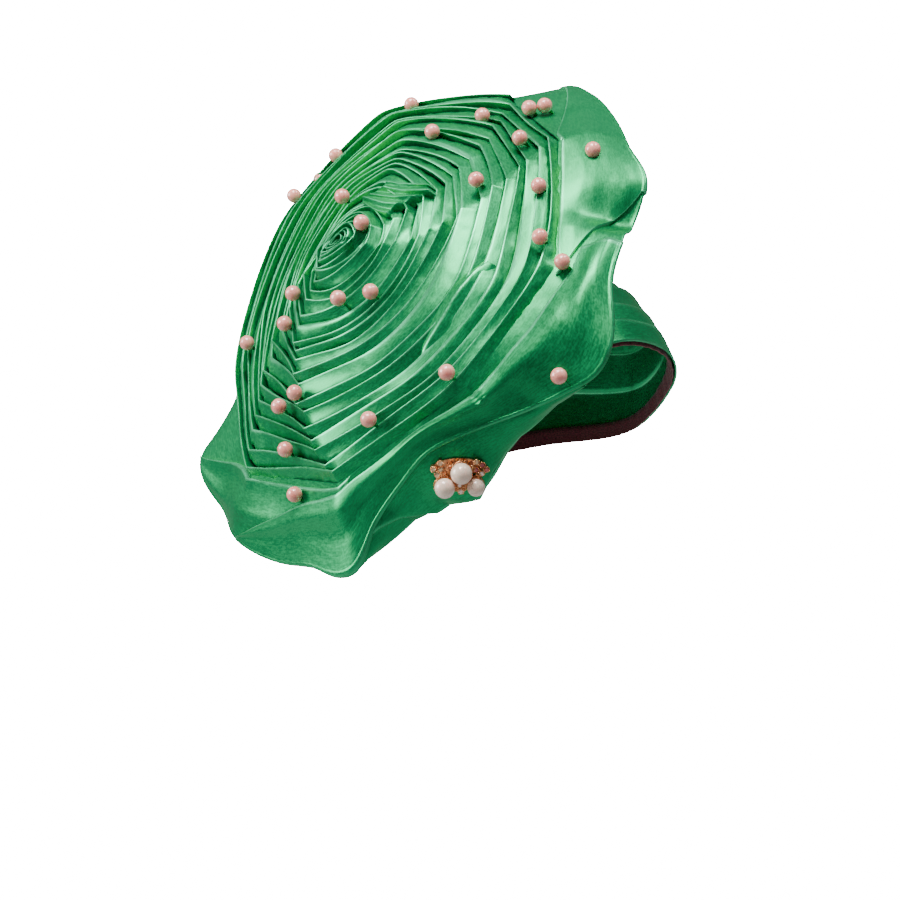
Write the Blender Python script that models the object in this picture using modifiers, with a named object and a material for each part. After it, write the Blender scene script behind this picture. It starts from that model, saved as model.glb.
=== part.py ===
"""Tied gele head tie: a satin cap, a wide fluted brim and a pleated rosette, with pearls and a brooch.

The origin is the middle of the head opening. +Z is up, the wearer faces -Y and the wearer's right is -X.
All lengths are in metres.
"""
import math

import bpy
import numpy as np
from mathutils import Matrix, Vector

# Cap: outer half sizes of the cloth, its wall and its roundness (2 is an ellipsoid)
CAP_HALF_WIDTH = 0.078
CAP_HALF_LENGTH = 0.097
CAP_HALF_HEIGHT = 0.087
CAP_WALL = 0.0024
CAP_ROUNDNESS = 1.95
CAP_STATIONS = 36
CAP_ROWS = 10
CAP_ROW_GROWTH = 1.4

# Dark edge of the lining that shows under the brow
LINING_WALL = 0.0010
LINING_DEPTH = 0.016
LINING_SHOWS = 0.0014
LINING_GAP = 0.0007

# Rosette side: the way the disc faces, and how far its middle is shifted up its own plane
DISC_AZIMUTH_DEG = 175.3
DISC_ELEVATION_DEG = 39.8
DISC_RAISE = 0.0015

# Brim
BRIM_WIDTH = 0.038
BRIM_WALL = 0.0018
BRIM_DROP = 0.0040
BRIM_FOLD = 0.0030
FLUTE_DEPTH = 0.014
BRIM_STEPS = 9

# Rosette, which the brim stands out from
ROSETTE_RADIUS = 0.119
BRIM_RADIUS = ROSETTE_RADIUS + BRIM_WIDTH
ROSETTE_HEIGHT = 0.072
ROSETTE_EDGE_HEIGHT = 0.029
PLEAT_WALL = 0.0014
PLEAT_TWIST_DEG = 3.0
PLEAT_SHOULDER = 0.010
PLEAT_LEAN = 0.0008
TUCK_DEPTH = 0.0055

# Temple panel
PANEL_WALL = 0.0018
PANEL_DROP = 0.0187
PANEL_SWELL = 0.0025
PANEL_HEM_SHARE = 0.6
PANEL_STATIONS = 21
PANEL_STRIPS = 5

# Pearls and brooch
PEARL_RADIUS = 0.0040
PEARL_SIDES = 10
PEARL_RINGS = 5
BROOCH_SCALE = 0.0100
BROOCH_PLATE = 0.0012
BROOCH_POST = 0.0016
STONE_RADIUS = 0.00135
STONE_SIDES = 8
BROOCH_ALONG_SHARE = 0.545
BROOCH_DOWN_SHARE = 0.24

CLEARANCE = 0.0003
MERGE = 0.00002

# Edge of the cap round the head: azimuth from +X and latitude, both in degrees
CAP_EDGE = (
    ("left ear", 0.0, -15.0),
    ("left temple", -31.0, 8.0),
    ("left brow", -62.0, 26.0),
    ("mid brow", -97.0, 32.0),
    ("right brow", -116.0, 19.0),
    ("right temple top", -132.0, 4.0),
    ("right temple", -147.0, -19.0),
    ("right ear", -180.0, -32.0),
    ("right nape", -225.0, -31.0),
    ("nape", -270.0, -29.0),
    ("left nape", -315.0, -24.0),
)

# Brim's outer fold: angle in degrees from the disc's top, reach as a share of the brim's radius,
# rise as a share of the flute depth
BRIM_EDGE = (
    ("top", 4.0, 0.970, 0.00),
    ("top front", -6.0, 0.945, 0.10),
    ("upper lobe", -20.0, 0.905, 0.20),
    ("upper lobe low", -34.0, 0.890, 0.40),
    ("upper tip", -45.0, 0.900, 0.00),
    ("tuck", -55.0, 0.835, -0.25),
    ("tuck end", -62.0, 0.870, 0.50),
    ("front lobe", -74.0, 0.895, 0.70),
    ("front tip", -86.0, 0.962, 0.10),
    ("front corner", -92.0, 0.950, -0.15),
    ("brow fold", -98.5, 0.885, 0.00),
    ("brow end", -104.0, 0.825, 0.10),
    ("panel rise", -116.0, 0.790, 0.90),
    ("panel apex", -127.0, 0.780, 1.30),
    ("panel fall", -138.0, 0.800, 0.90),
    ("panel foot", -146.5, 0.865, 0.50),
    ("low corner", -153.0, 0.980, 0.00),
    ("low front", -165.0, 0.945, 0.10),
    ("bottom", -178.0, 0.940, -0.10),
    ("low back", -194.0, 0.957, 0.00),
    ("left dip", -210.0, 0.975, -0.50),
    ("left tip", -226.0, 1.025, 0.10),
    ("left fall", -236.0, 0.880, 0.00),
    ("back low", -250.0, 0.865, 0.50),
    ("back valley", -268.0, 0.900, -0.50),
    ("back lobe", -286.0, 0.930, 0.60),
    ("back upper valley", -304.0, 0.900, -0.50),
    ("back upper lobe", -322.0, 0.920, 0.40),
    ("top back", -340.0, 0.925, -0.20),
)

# Corners of a pleat turn: angle in degrees on the outer turn, reach as a share of the turn's
# radius, lift as a share of that radius
PLEAT_CORNERS = (
    ("top", 2.0, 1.030, 0.00),
    ("top front", -28.0, 1.000, 0.03),
    ("front", -72.0, 0.985, -0.02),
    ("low front", -108.0, 1.000, 0.02),
    ("bottom front", -150.0, 1.015, 0.00),
    ("bottom back", -196.0, 1.000, -0.09),
    ("back", -236.0, 1.010, -0.05),
    ("upper back", -280.0, 1.005, 0.10),
    ("far top", -320.0, 1.000, 0.14),
)

# Turns of the pleated strip from the bud out: radius as a share of the rosette's radius,
# proud is how far the fold stands above the dome as a share of the rosette's height
PLEAT_TURNS = (
    ("bud heart", 0.024, -0.010),
    ("bud 1", 0.056, 0.000),
    ("bud 2", 0.090, 0.008),
    ("bud 3", 0.126, 0.000),
    ("bud 4", 0.164, 0.010),
    ("inner 1", 0.206, -0.020),
    ("inner 2", 0.252, 0.000),
    ("inner 3", 0.300, 0.015),
    ("inner 4", 0.348, -0.010),
    ("inner 5", 0.402, 0.010),
    ("middle 1", 0.448, 0.000),
    ("middle 2", 0.492, 0.012),
    ("middle 3", 0.538, 0.000),
    ("middle 4", 0.584, 0.010),
    ("middle 5", 0.632, -0.006),
    ("middle 6", 0.684, 0.014),
    ("outer 1", 0.742, 0.000),
    ("outer 2", 0.794, 0.010),
    ("outer 3", 0.844, -0.006),
    ("outer 4", 0.896, 0.008),
    ("outer 5", 0.948, 0.000),
    ("outer 6", 1.000, 0.000),
)

# The strip's four lengths: first and last turn
ROSETTE_PIECES = (
    ("rosette_bud", 0, 5),
    ("rosette_inner_pleats", 5, 10),
    ("rosette_middle_pleats", 10, 16),
    ("rosette_outer_pleats", 16, 21),
)

# Temple panel from the brow back: angle of its top on the brim's fold, angle of its hem, the hem's
# reach as a share of the brim's radius and its drop as a share of the panel's drop, then azimuth and
# latitude of its foot on the cap; all angles in degrees
PANEL_ROWS = (
    ("brow", -95.5, -93.5, 0.895, 0.45, -113.0, 23.0),
    ("fold", -102.0, -100.0, 0.800, 0.60, -121.0, 14.0),
    ("eye corner", -111.0, -110.5, 0.762, 0.62, -132.0, 3.5),
    ("apex", -120.0, -120.5, 0.770, 0.72, -143.0, -11.0),
    ("tip", -127.0, -126.6, 0.811, 1.00, -150.0, -20.0),
    ("under eye", -134.0, -133.5, 0.782, 0.76, -162.0, -25.0),
    ("foot", -143.0, -143.0, 0.790, 0.62, -174.0, -29.0),
    ("ear", -150.5, -152.0, 0.955, 0.42, -190.0, -32.0),
)

# Pearls on the rosette and the brim: angle in degrees and radius as a share of the brim's radius
PEARLS = (
    ("upper front", -10.6, 0.747),
    ("top brim", -12.0, 0.785),
    ("upper pleat", -2.7, 0.643),
    ("upper inner pleat", 5.4, 0.512),
    ("front upper pleat", -27.5, 0.649),
    ("upper lobe", -38.0, 0.815),
    ("far upper", 57.0, 0.735),
    ("far", 65.0, 0.745),
    ("front edge upper", -49.8, 0.664),
    ("front inner pleat", -40.9, 0.486),
    ("far side", 73.0, 0.740),
    ("bud top", 42.4, 0.233),
    ("bud", -47.9, 0.118),
    ("front edge", -68.0, 0.698),
    ("brim front", -73.5, 0.775),
    ("bud front", -114.3, 0.281),
    ("bud low", -137.8, 0.237),
    ("bud back", 143.1, 0.234),
    ("inner back", 156.9, 0.311),
    ("back edge", 122.5, 0.620),
    ("low edge", -111.1, 0.711),
    ("brow lobe", -96.3, 0.900),
    ("low inner", -169.1, 0.493),
    ("low back inner", 179.0, 0.531),
    ("low front edge", -136.5, 0.653),
    ("low back", -173.5, 0.646),
    ("low brim", -168.5, 0.765),
    ("top far", 30.0, 0.740),
)

# Brooch, in shares of its scale: pearls (across, up, radius)
BROOCH_PEARLS = (
    ("top", 0.11, 0.25, 0.54),
    ("left", -0.67, -0.50, 0.51),
    ("right", 0.83, -0.51, 0.47),
)

# Brooch stones, in shares of its scale: across and up
BROOCH_STONES = (
    ("left outer", -1.20, 0.36),
    ("left low", -1.00, 0.08),
    ("left upper", -0.86, 0.66),
    ("left inner", -0.84, 0.34),
    ("right inner", 0.86, 0.68),
    ("right upper", 1.14, 0.54),
    ("right outer", 1.34, 0.30),
    ("right low", 1.10, 0.10),
    ("right heart", 0.84, 0.30),
    ("bottom", 0.06, -0.48),
    ("bottom low", 0.14, -0.80),
)


def unit(vector):
    """Return the vector at length one."""
    vector = np.asarray(vector, float)
    return vector / np.linalg.norm(vector)


def way_to(azimuth_deg, latitude_deg):
    """Unit vector from the origin at an azimuth from +X and a latitude."""
    azimuth, latitude = math.radians(azimuth_deg), math.radians(latitude_deg)
    return np.array([
        math.cos(latitude) * math.cos(azimuth),
        math.cos(latitude) * math.sin(azimuth),
        math.sin(latitude),
    ])


FACING = way_to(DISC_AZIMUTH_DEG, DISC_ELEVATION_DEG)
DISC_UP = unit(np.array([0.0, 0.0, 1.0]) - FACING * FACING[2])
DISC_SIDE = np.cross(FACING, DISC_UP)


def cap_reach():
    """Distance from the origin to the cap's far side along the disc's facing."""
    dual = CAP_ROUNDNESS / (CAP_ROUNDNESS - 1.0)
    halves = np.array([CAP_HALF_WIDTH, CAP_HALF_LENGTH, CAP_HALF_HEIGHT])
    return float((np.abs(halves * FACING) ** dual).sum() ** (1.0 / dual))


DISC_MIDDLE = FACING * (cap_reach() + CLEARANCE + BRIM_DROP) + DISC_UP * DISC_RAISE


def disc_point(radius, angle_deg, height):
    """Point at a radius and angle on the disc, raised by height along its facing."""
    angle = math.radians(angle_deg)
    flat = DISC_UP * math.cos(angle) + DISC_SIDE * math.sin(angle)
    return DISC_MIDDLE + flat * radius + FACING * height


def cap_point(azimuth_deg, latitude_deg, inset=0.0):
    """Point on the cap's outer cloth, moved inward by inset."""
    way = way_to(azimuth_deg, latitude_deg)
    halves = np.array([CAP_HALF_WIDTH, CAP_HALF_LENGTH, CAP_HALF_HEIGHT]) - inset
    return way / float((np.abs(way / halves) ** CAP_ROUNDNESS).sum() ** (1.0 / CAP_ROUNDNESS))


def round_table(table, angle_deg, column):
    """Read a column of a closed table of angles with a smooth curve through its rows."""
    rows = sorted((row[1] % 360.0, row[column]) for row in table)
    angles = [row[0] for row in rows]
    values = [row[1] for row in rows]
    count = len(rows)
    angle = angle_deg % 360.0
    after = next((i for i, a in enumerate(angles) if a > angle), 0)
    i0, i1, i2, i3 = (after - 2) % count, (after - 1) % count, after, (after + 1) % count
    span = (angles[i2] - angles[i1]) % 360.0 or 360.0
    share = ((angle - angles[i1]) % 360.0) / span
    before = (angles[i1] - angles[i0]) % 360.0
    beyond = (angles[i3] - angles[i2]) % 360.0
    slope1 = (values[i2] - values[i0]) / (before + span) * span
    slope2 = (values[i3] - values[i1]) / (span + beyond) * span
    s2, s3 = share * share, share ** 3
    return ((2 * s3 - 3 * s2 + 1) * values[i1] + (s3 - 2 * s2 + share) * slope1
            + (3 * s2 - 2 * s3) * values[i2] + (s3 - s2) * slope2)


def brim_edge(angle_deg):
    """Radius and height of the brim's outer fold at an angle."""
    reach = round_table(BRIM_EDGE, angle_deg, 2) * BRIM_RADIUS
    rise = round_table(BRIM_EDGE, angle_deg, 3) * FLUTE_DEPTH
    return reach, rise


def dome_height(radius):
    """Height of the rosette's folded edges at a radius, before a corner's lift."""
    return ROSETTE_HEIGHT - (ROSETTE_HEIGHT - ROSETTE_EDGE_HEIGHT) * radius / ROSETTE_RADIUS


def pleat_corner(index):
    """Unrolled angle, radius and height of the strip's folded edge at a numbered corner."""
    count = len(PLEAT_CORNERS)
    corner = PLEAT_CORNERS[index % count]
    last = len(PLEAT_TURNS) - 1
    turn = min(index // count + (PLEAT_CORNERS[0][1] - corner[1]) / 360.0, last)
    turns = range(last + 1)
    radius = np.interp(turn, turns, [row[1] for row in PLEAT_TURNS]) * ROSETTE_RADIUS
    proud = np.interp(turn, turns, [row[2] for row in PLEAT_TURNS]) * ROSETTE_HEIGHT
    angle = corner[1] - 360.0 * (index // count) + PLEAT_TWIST_DEG * (turn - last)
    return angle, radius * corner[2], dome_height(radius) + proud + corner[3] * radius


def side_radius(start, end, angle):
    """Radius of the straight side between two corners at an unrolled angle."""
    from_start = math.radians(abs(angle - start[0]))
    to_end = math.radians(abs(end[0] - angle))
    return start[1] * end[1] * math.sin(from_start + to_end) / (
        start[1] * math.sin(from_start) + end[1] * math.sin(to_end))


def pleat_edge(start_turn, end_turn, steps=1):
    """Points (angle, radius, height) along the strip's folded edge, steps to a straight side."""
    count = len(PLEAT_CORNERS)
    points = []
    for index in range(start_turn * count, end_turn * count):
        start, end = pleat_corner(index), pleat_corner(index + 1)
        for step in range(steps):
            share = step / steps
            angle = start[0] + (end[0] - start[0]) * share
            height = start[2] + (end[2] - start[2]) * share
            points.append((angle, side_radius(start, end, angle), height))
    points.append(pleat_corner(end_turn * count))
    return points


def outer_pleat(angle_deg):
    """Radius and edge height of the outermost turn at an angle."""
    count = len(PLEAT_CORNERS)
    last = (len(PLEAT_TURNS) - 1) * count
    found = None
    for index in range(last - count - 1, last):
        start, end = pleat_corner(index), pleat_corner(index + 1)
        angle = start[0] - ((start[0] - angle_deg) % 360.0)
        if angle < end[0]:
            continue
        radius = side_radius(start, end, angle)
        share = (start[0] - angle) / (start[0] - end[0])
        if found is None or radius > found[0]:
            found = (radius, start[2] + (end[2] - start[2]) * share)
    return found


def brim_stations(steps):
    """Angles round the disc, which take in every corner of the outermost turn."""
    count = len(PLEAT_CORNERS)
    last = (len(PLEAT_TURNS) - 1) * count
    corners = [pleat_corner(index)[0] for index in range(last - count, last + 1)]
    whole = [corners[i] + (corners[i + 1] - corners[i]) * step / steps
             for i in range(count) for step in range(steps)]
    spare = 360.0 - (corners[0] - corners[-1])
    return whole + [corners[-1] - spare * step / 2 for step in range(2)]


def brim_profile(angle_deg):
    """Points (radius, height) of the brim's cloth from the disc's middle, round the fold and back in."""
    edge_radius, edge_height = brim_edge(angle_deg)
    pleat_radius, pleat_height = outer_pleat(angle_deg)
    foot = pleat_radius + PLEAT_WALL + CLEARANCE + BRIM_WALL / 2
    edge_radius = max(edge_radius, foot + BRIM_FOLD)
    floor = BRIM_WALL / 2 - BRIM_DROP
    under = edge_height - BRIM_FOLD
    tuck = pleat_height - TUCK_DEPTH
    span = edge_radius - foot
    rise = tuck - edge_height
    return [
        (foot * 0.34, floor),
        (foot * 0.67, floor),
        (foot, floor),
        (foot + span * 0.12, floor + (under - floor) * 0.45),
        (edge_radius - BRIM_FOLD * 0.9, under),
        (edge_radius - BRIM_FOLD * 0.2, edge_height - BRIM_FOLD * 0.6),
        (edge_radius, edge_height),
        (edge_radius - span * 0.12, edge_height + rise * 0.14),
        (edge_radius - span * 0.42, edge_height + rise * 0.42),
        (edge_radius - span * 0.72, edge_height + rise * 0.72),
        (foot, tuck),
    ]


def panel_row(share, column):
    """Read a column of the temple panel's table at a share of its length."""
    places = np.linspace(0.0, 1.0, len(PANEL_ROWS))
    return float(np.interp(share, places, [row[column] for row in PANEL_ROWS]))


def panel_point(share, drop):
    """Point on the temple panel: share runs from the brow back, drop down to the hem and in to the foot."""
    angle = panel_row(share, 1)
    edge_radius, edge_height = brim_edge(angle)
    seat = BRIM_WALL / 2 + PANEL_WALL / 2 + CLEARANCE
    top = disc_point(edge_radius - BRIM_FOLD * 0.4, angle, edge_height - BRIM_FOLD - seat)
    sunk = panel_row(share, 4) * PANEL_DROP
    hem = disc_point(panel_row(share, 3) * BRIM_RADIUS, panel_row(share, 2), -sunk)
    foot = cap_point(panel_row(share, 5), panel_row(share, 6), -CLEARANCE - PANEL_WALL / 2)
    if drop <= PANEL_HEM_SHARE:
        part = drop / PANEL_HEM_SHARE
        swell = hem - DISC_MIDDLE
        out = unit(swell - FACING * (swell @ FACING))
        return top + (hem - top) * part + out * PANEL_SWELL * math.sin(math.pi * part)
    return hem + (foot - hem) * (drop - PANEL_HEM_SHARE) / (1.0 - PANEL_HEM_SHARE)


def panel_facing(share, drop):
    """Outward normal of the temple panel, and its direction across towards the brow."""
    step = 0.02
    along = panel_point(share + step, drop) - panel_point(share - step, drop)
    down = panel_point(share, drop + step) - panel_point(share, drop - step)
    facing = unit(np.cross(along, down))
    return facing if facing @ (panel_point(share, drop) - DISC_MIDDLE) > 0.0 else -facing


def pearl_seat(radius, angle_deg, ball):
    """Centre of a ball that rests on the pleats' folds or on the brim at a radius and angle."""
    angle = math.radians(angle_deg)
    spot = np.array([radius * math.cos(angle), radius * math.sin(angle)])
    best = -1.0
    for reach, point_radius, point_angle, height in seat_points():
        turn = math.radians(point_angle)
        gap = math.hypot(point_radius * math.cos(turn) - spot[0], point_radius * math.sin(turn) - spot[1])
        near = ball + reach
        if gap < near:
            best = max(best, height + math.sqrt(near * near - gap * gap))
    return disc_point(radius, angle_deg, best)


SEAT_CACHE = []


def seat_points():
    """Close points along every folded edge and over the brim: (clearance, radius, angle, height)."""
    if SEAT_CACHE:
        return SEAT_CACHE
    reach = PLEAT_WALL * 0.4 + CLEARANCE
    edge = pleat_edge(0, len(PLEAT_TURNS) - 1)
    for (angle1, radius1, height1), (angle2, radius2, height2) in zip(edge, edge[1:]):
        steps = max(2, int(radius1 * abs(math.radians(angle2 - angle1)) / 0.0012))
        start, end = (angle1, radius1), (angle2, radius2)
        for step in range(steps):
            share = step / steps
            angle = angle1 + (angle2 - angle1) * share
            height = height1 + (height2 - height1) * share
            SEAT_CACHE.append((reach, side_radius(start, end, angle), angle, height))
    reach = BRIM_WALL * 0.6 + CLEARANCE
    for angle in np.arange(0.0, 360.0, 0.6):
        upper = brim_profile(angle)[6:]
        for (radius1, height1), (radius2, height2) in zip(upper, upper[1:]):
            for step in range(8):
                share = step / 8
                SEAT_CACHE.append((reach, radius1 + (radius2 - radius1) * share, angle,
                                   height1 + (height2 - height1) * share))
    return SEAT_CACHE


def make_material(name, colour, roughness, metallic=0.0):
    """Principled material in a plain colour."""
    material = bpy.data.materials.new(name)
    material.use_nodes = True
    shader = material.node_tree.nodes["Principled BSDF"]
    shader.inputs["Base Color"].default_value = (*colour, 1.0)
    shader.inputs["Roughness"].default_value = roughness
    shader.inputs["Metallic"].default_value = metallic
    return material


def add_mesh(name, points, faces, material, collection):
    """Add a smooth shaded mesh object from points and faces."""
    mesh = bpy.data.meshes.new(name)
    mesh.from_pydata([tuple(point) for point in points], [], faces)
    mesh.materials.append(material)
    mesh.shade_smooth()
    mesh.set_sharp_from_angle(angle=math.radians(40.0))
    thing = bpy.data.objects.new(name, mesh)
    collection.objects.link(thing)
    return thing


def grid_faces(rows, columns, closed):
    """Quads of a grid stored row by row, closed round its columns or not."""
    around = columns if closed else columns - 1
    return [(r * columns + c, r * columns + (c + 1) % columns,
             (r + 1) * columns + (c + 1) % columns, (r + 1) * columns + c)
            for r in range(rows - 1) for c in range(around)]


def thicken(thing, wall, offset):
    """Give an open sheet its wall; offset -1 keeps the sheet as the outer face, 0 as the middle."""
    solid = thing.modifiers.new("Wall", "SOLIDIFY")
    solid.thickness = wall
    solid.offset = offset
    solid.use_even_offset = True
    solid.use_quality_normals = True


def build_cap(material, collection):
    """Cap: a shell over the head, open below, with its edge cut to the table."""
    columns = [360.0 * c / CAP_STATIONS for c in range(CAP_STATIONS)]
    points = []
    for row in range(CAP_ROWS):
        share = (row / CAP_ROWS) ** CAP_ROW_GROWTH
        for azimuth in columns:
            edge = round_table(CAP_EDGE, azimuth, 2)
            points.append(cap_point(azimuth, edge + (90.0 - edge) * share))
    faces = grid_faces(CAP_ROWS, CAP_STATIONS, True)
    points.append(cap_point(0.0, 90.0))
    top, last = len(points) - 1, (CAP_ROWS - 1) * CAP_STATIONS
    faces += [(last + c, last + (c + 1) % CAP_STATIONS, top) for c in range(CAP_STATIONS)]
    cap = add_mesh("head_cap", points, faces, material, collection)
    thicken(cap, CAP_WALL, -1.0)
    return cap


def build_lining(material, collection):
    """Lining's edge: a narrow dark band inside the cap that shows under its edge."""
    lower = math.degrees(LINING_SHOWS / CAP_HALF_HEIGHT)
    upper = math.degrees(LINING_DEPTH / CAP_HALF_HEIGHT)
    points = []
    for drop in (-lower, 0.0, upper * 0.5, upper):
        for c in range(CAP_STATIONS):
            azimuth = 360.0 * c / CAP_STATIONS
            latitude = round_table(CAP_EDGE, azimuth, 2) + drop
            points.append(cap_point(azimuth, latitude, CAP_WALL + LINING_GAP))
    lining = add_mesh("cap_lining", points, grid_faces(4, CAP_STATIONS, True), material, collection)
    thicken(lining, LINING_WALL, -1.0)
    return lining


def build_brim(material, collection):
    """Brim: one cloth from under the rosette out to its fold and back in to the last pleat."""
    stations = brim_stations(BRIM_STEPS)
    profiles = [brim_profile(angle) for angle in stations]
    rows = len(profiles[0])
    points = [disc_point(profiles[c][row][0], angle, profiles[c][row][1])
              for row in range(rows) for c, angle in enumerate(stations)]
    count = len(stations)
    faces = [tuple(reversed(face)) for face in grid_faces(rows, count, True)]
    points.append(disc_point(0.0, 0.0, BRIM_WALL / 2 - BRIM_DROP))
    middle = len(points) - 1
    faces += [(middle, (c + 1) % count, c)[::-1] for c in range(count)]
    brim = add_mesh("brim", points, faces, material, collection)
    thicken(brim, BRIM_WALL, 0.0)
    return brim


def build_pleats(name, start_turn, end_turn, material, collection):
    """A length of the rosette's pleated strip, standing on the brim's cloth."""
    edge = pleat_edge(start_turn, end_turn)
    angle, radius, height = edge[0]
    edge[0] = (angle - math.degrees((CLEARANCE + PLEAT_WALL / 2) / radius), radius, height)
    foot = BRIM_WALL - BRIM_DROP + CLEARANCE
    points = []
    for row in range(3):
        for angle, radius, height in edge:
            level = (foot, height - min(PLEAT_SHOULDER, height / 2), height)[row]
            lean = (-PLEAT_LEAN, -PLEAT_LEAN, 0.0)[row]
            points.append(disc_point(max(radius + lean, radius / 2), angle, level))
    pleats = add_mesh(name, points, grid_faces(3, len(edge), False), material, collection)
    thicken(pleats, PLEAT_WALL, 0.0)
    return pleats


def build_panel(material, collection):
    """Temple panel: the wrap between the brim's fold and the cap's edge at the right temple."""
    points = [panel_point(c / PANEL_STATIONS, row / PANEL_STRIPS)
              for row in range(PANEL_STRIPS + 1) for c in range(PANEL_STATIONS + 1)]
    faces = grid_faces(PANEL_STRIPS + 1, PANEL_STATIONS + 1, False)
    panel = add_mesh("temple_panel", points, faces, material, collection)
    thicken(panel, PANEL_WALL, 0.0)
    return panel


def build_ball(name, centre, radius, axis, material, collection):
    """Round bead with its poles along an axis."""
    bpy.ops.mesh.primitive_uv_sphere_add(segments=PEARL_SIDES, ring_count=PEARL_RINGS, radius=radius)
    ball = bpy.context.object
    ball.name = name
    ball.data.name = name
    ball.data.materials.append(material)
    ball.data.shade_smooth()
    ball.matrix_world = axis_frame(centre, axis)
    for old in list(ball.users_collection):
        old.objects.unlink(ball)
    collection.objects.link(ball)
    return ball


def axis_frame(centre, axis, up=(0.0, 0.0, 1.0)):
    """Matrix with its Z along axis, its Y as near up as it can be and its origin at centre."""
    z = unit(axis)
    y = unit(np.asarray(up) - z * (np.asarray(up) @ z))
    x = np.cross(y, z)
    frame = np.eye(4)
    frame[:3, 0], frame[:3, 1], frame[:3, 2], frame[:3, 3] = x, y, z, centre
    return Matrix(frame.tolist())


def build_pearls(material, collection):
    """Pearls scattered over the pleats and the brim."""
    for number, (_, angle, reach) in enumerate(PEARLS, start=1):
        centre = pearl_seat(reach * BRIM_RADIUS, angle, PEARL_RADIUS)
        build_ball(f"pearl_{number:02d}", centre, PEARL_RADIUS, FACING, material, collection)


def brooch_frame():
    """Matrix of the brooch on the temple panel, Z outward and Y up, clear of the panel's curve."""
    facing = panel_facing(BROOCH_ALONG_SHARE, BROOCH_DOWN_SHARE)
    middle = panel_point(BROOCH_ALONG_SHARE, BROOCH_DOWN_SHARE)
    proud = max((panel_point(BROOCH_ALONG_SHARE + a, BROOCH_DOWN_SHARE + b) - middle) @ facing
                for a in np.linspace(-0.16, 0.16, 9) for b in np.linspace(-0.16, 0.16, 9))
    return axis_frame(middle + facing * (proud + PANEL_WALL / 2 + CLEARANCE), facing)


def add_plate(radius, depth, sides, place, stretch=(1.0, 1.0)):
    """Short round plate with its foot at place in the brooch's frame."""
    bpy.ops.mesh.primitive_cylinder_add(vertices=sides, radius=1.0, depth=1.0)
    plate = bpy.context.object
    size = Matrix.Diagonal((radius * stretch[0], radius * stretch[1], depth, 1.0))
    plate.data.transform(Matrix.Translation((0.0, 0.0, depth / 2)) @ size)
    plate.location = (place[0] * BROOCH_SCALE, place[1] * BROOCH_SCALE, 0.0)
    return plate


def build_setting(material, collection, cutters):
    """Brooch's setting: one metal solid of plates and stone posts."""
    base = add_plate(BROOCH_SCALE * 0.70, BROOCH_PLATE, 16, (0.05, -0.15))
    joined = [add_plate(BROOCH_SCALE * 1.22, BROOCH_PLATE, 20, (0.04, 0.36), (1.0, 0.36))]
    joined += [add_plate(BROOCH_SCALE * row[3] * 0.88, BROOCH_PLATE, 12, row[1:3])
               for row in BROOCH_PEARLS[1:]]
    joined += [add_plate(STONE_RADIUS * 0.85, BROOCH_PLATE + BROOCH_POST, STONE_SIDES, row[1:3])
               for row in BROOCH_STONES]
    base.name = "brooch_setting"
    base.data.name = "brooch_setting"
    base.data.materials.append(material)
    for number, plate in enumerate(joined):
        plate.name = f"setting_piece_{number:02d}"
        plate.hide_render = True
        plate.display_type = "WIRE"
        move_to(plate, cutters)
        union = base.modifiers.new(f"Union {number}", "BOOLEAN")
        union.operation = "UNION"
        union.object = plate
    move_to(base, collection)
    return [base] + joined


def build_stone(name, material, collection):
    """Cut stone: a table, a crown and a pavilion with eight sides, turned from one outline."""
    outline = [(0.0, 0.42), (0.58, 0.42), (1.0, 0.10), (1.0, 0.0), (0.36, -0.5), (0.0, -0.5)]
    mesh = bpy.data.meshes.new(name)
    points = [(x * STONE_RADIUS, 0.0, z * STONE_RADIUS) for x, z in outline]
    mesh.from_pydata(points, [(i, i + 1) for i in range(len(points) - 1)], [])
    mesh.materials.append(material)
    stone = bpy.data.objects.new(name, mesh)
    collection.objects.link(stone)
    turn = stone.modifiers.new("Turn", "SCREW")
    turn.steps = STONE_SIDES
    turn.render_steps = STONE_SIDES
    turn.use_merge_vertices = True
    turn.merge_threshold = MERGE
    turn.use_smooth_shade = False
    return stone


def build_brooch(gold, pearl, crystal, collection, cutters):
    """Brooch: the setting, three large pearls and the cut stones, all in the brooch's frame."""
    frame = brooch_frame()
    for piece in build_setting(gold, collection, cutters):
        piece.matrix_world = frame @ Matrix.Translation(piece.location)
    for name, across, up, share in BROOCH_PEARLS:
        radius = share * BROOCH_SCALE
        place = Vector((across * BROOCH_SCALE, up * BROOCH_SCALE, BROOCH_PLATE + CLEARANCE + radius))
        build_ball(f"brooch_pearl_{name}", frame @ place, radius, frame.to_3x3().col[2], pearl, collection)
    level = BROOCH_PLATE + BROOCH_POST + CLEARANCE + STONE_RADIUS * 0.5
    for number, (_, across, up) in enumerate(BROOCH_STONES, start=1):
        stone = build_stone(f"brooch_stone_{number:02d}", crystal, collection)
        place = Vector((across * BROOCH_SCALE, up * BROOCH_SCALE, level))
        stone.matrix_world = frame @ Matrix.Translation(place)


def move_to(thing, collection):
    """Put an object in one collection alone."""
    for old in list(thing.users_collection):
        old.objects.unlink(thing)
    collection.objects.link(thing)


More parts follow.
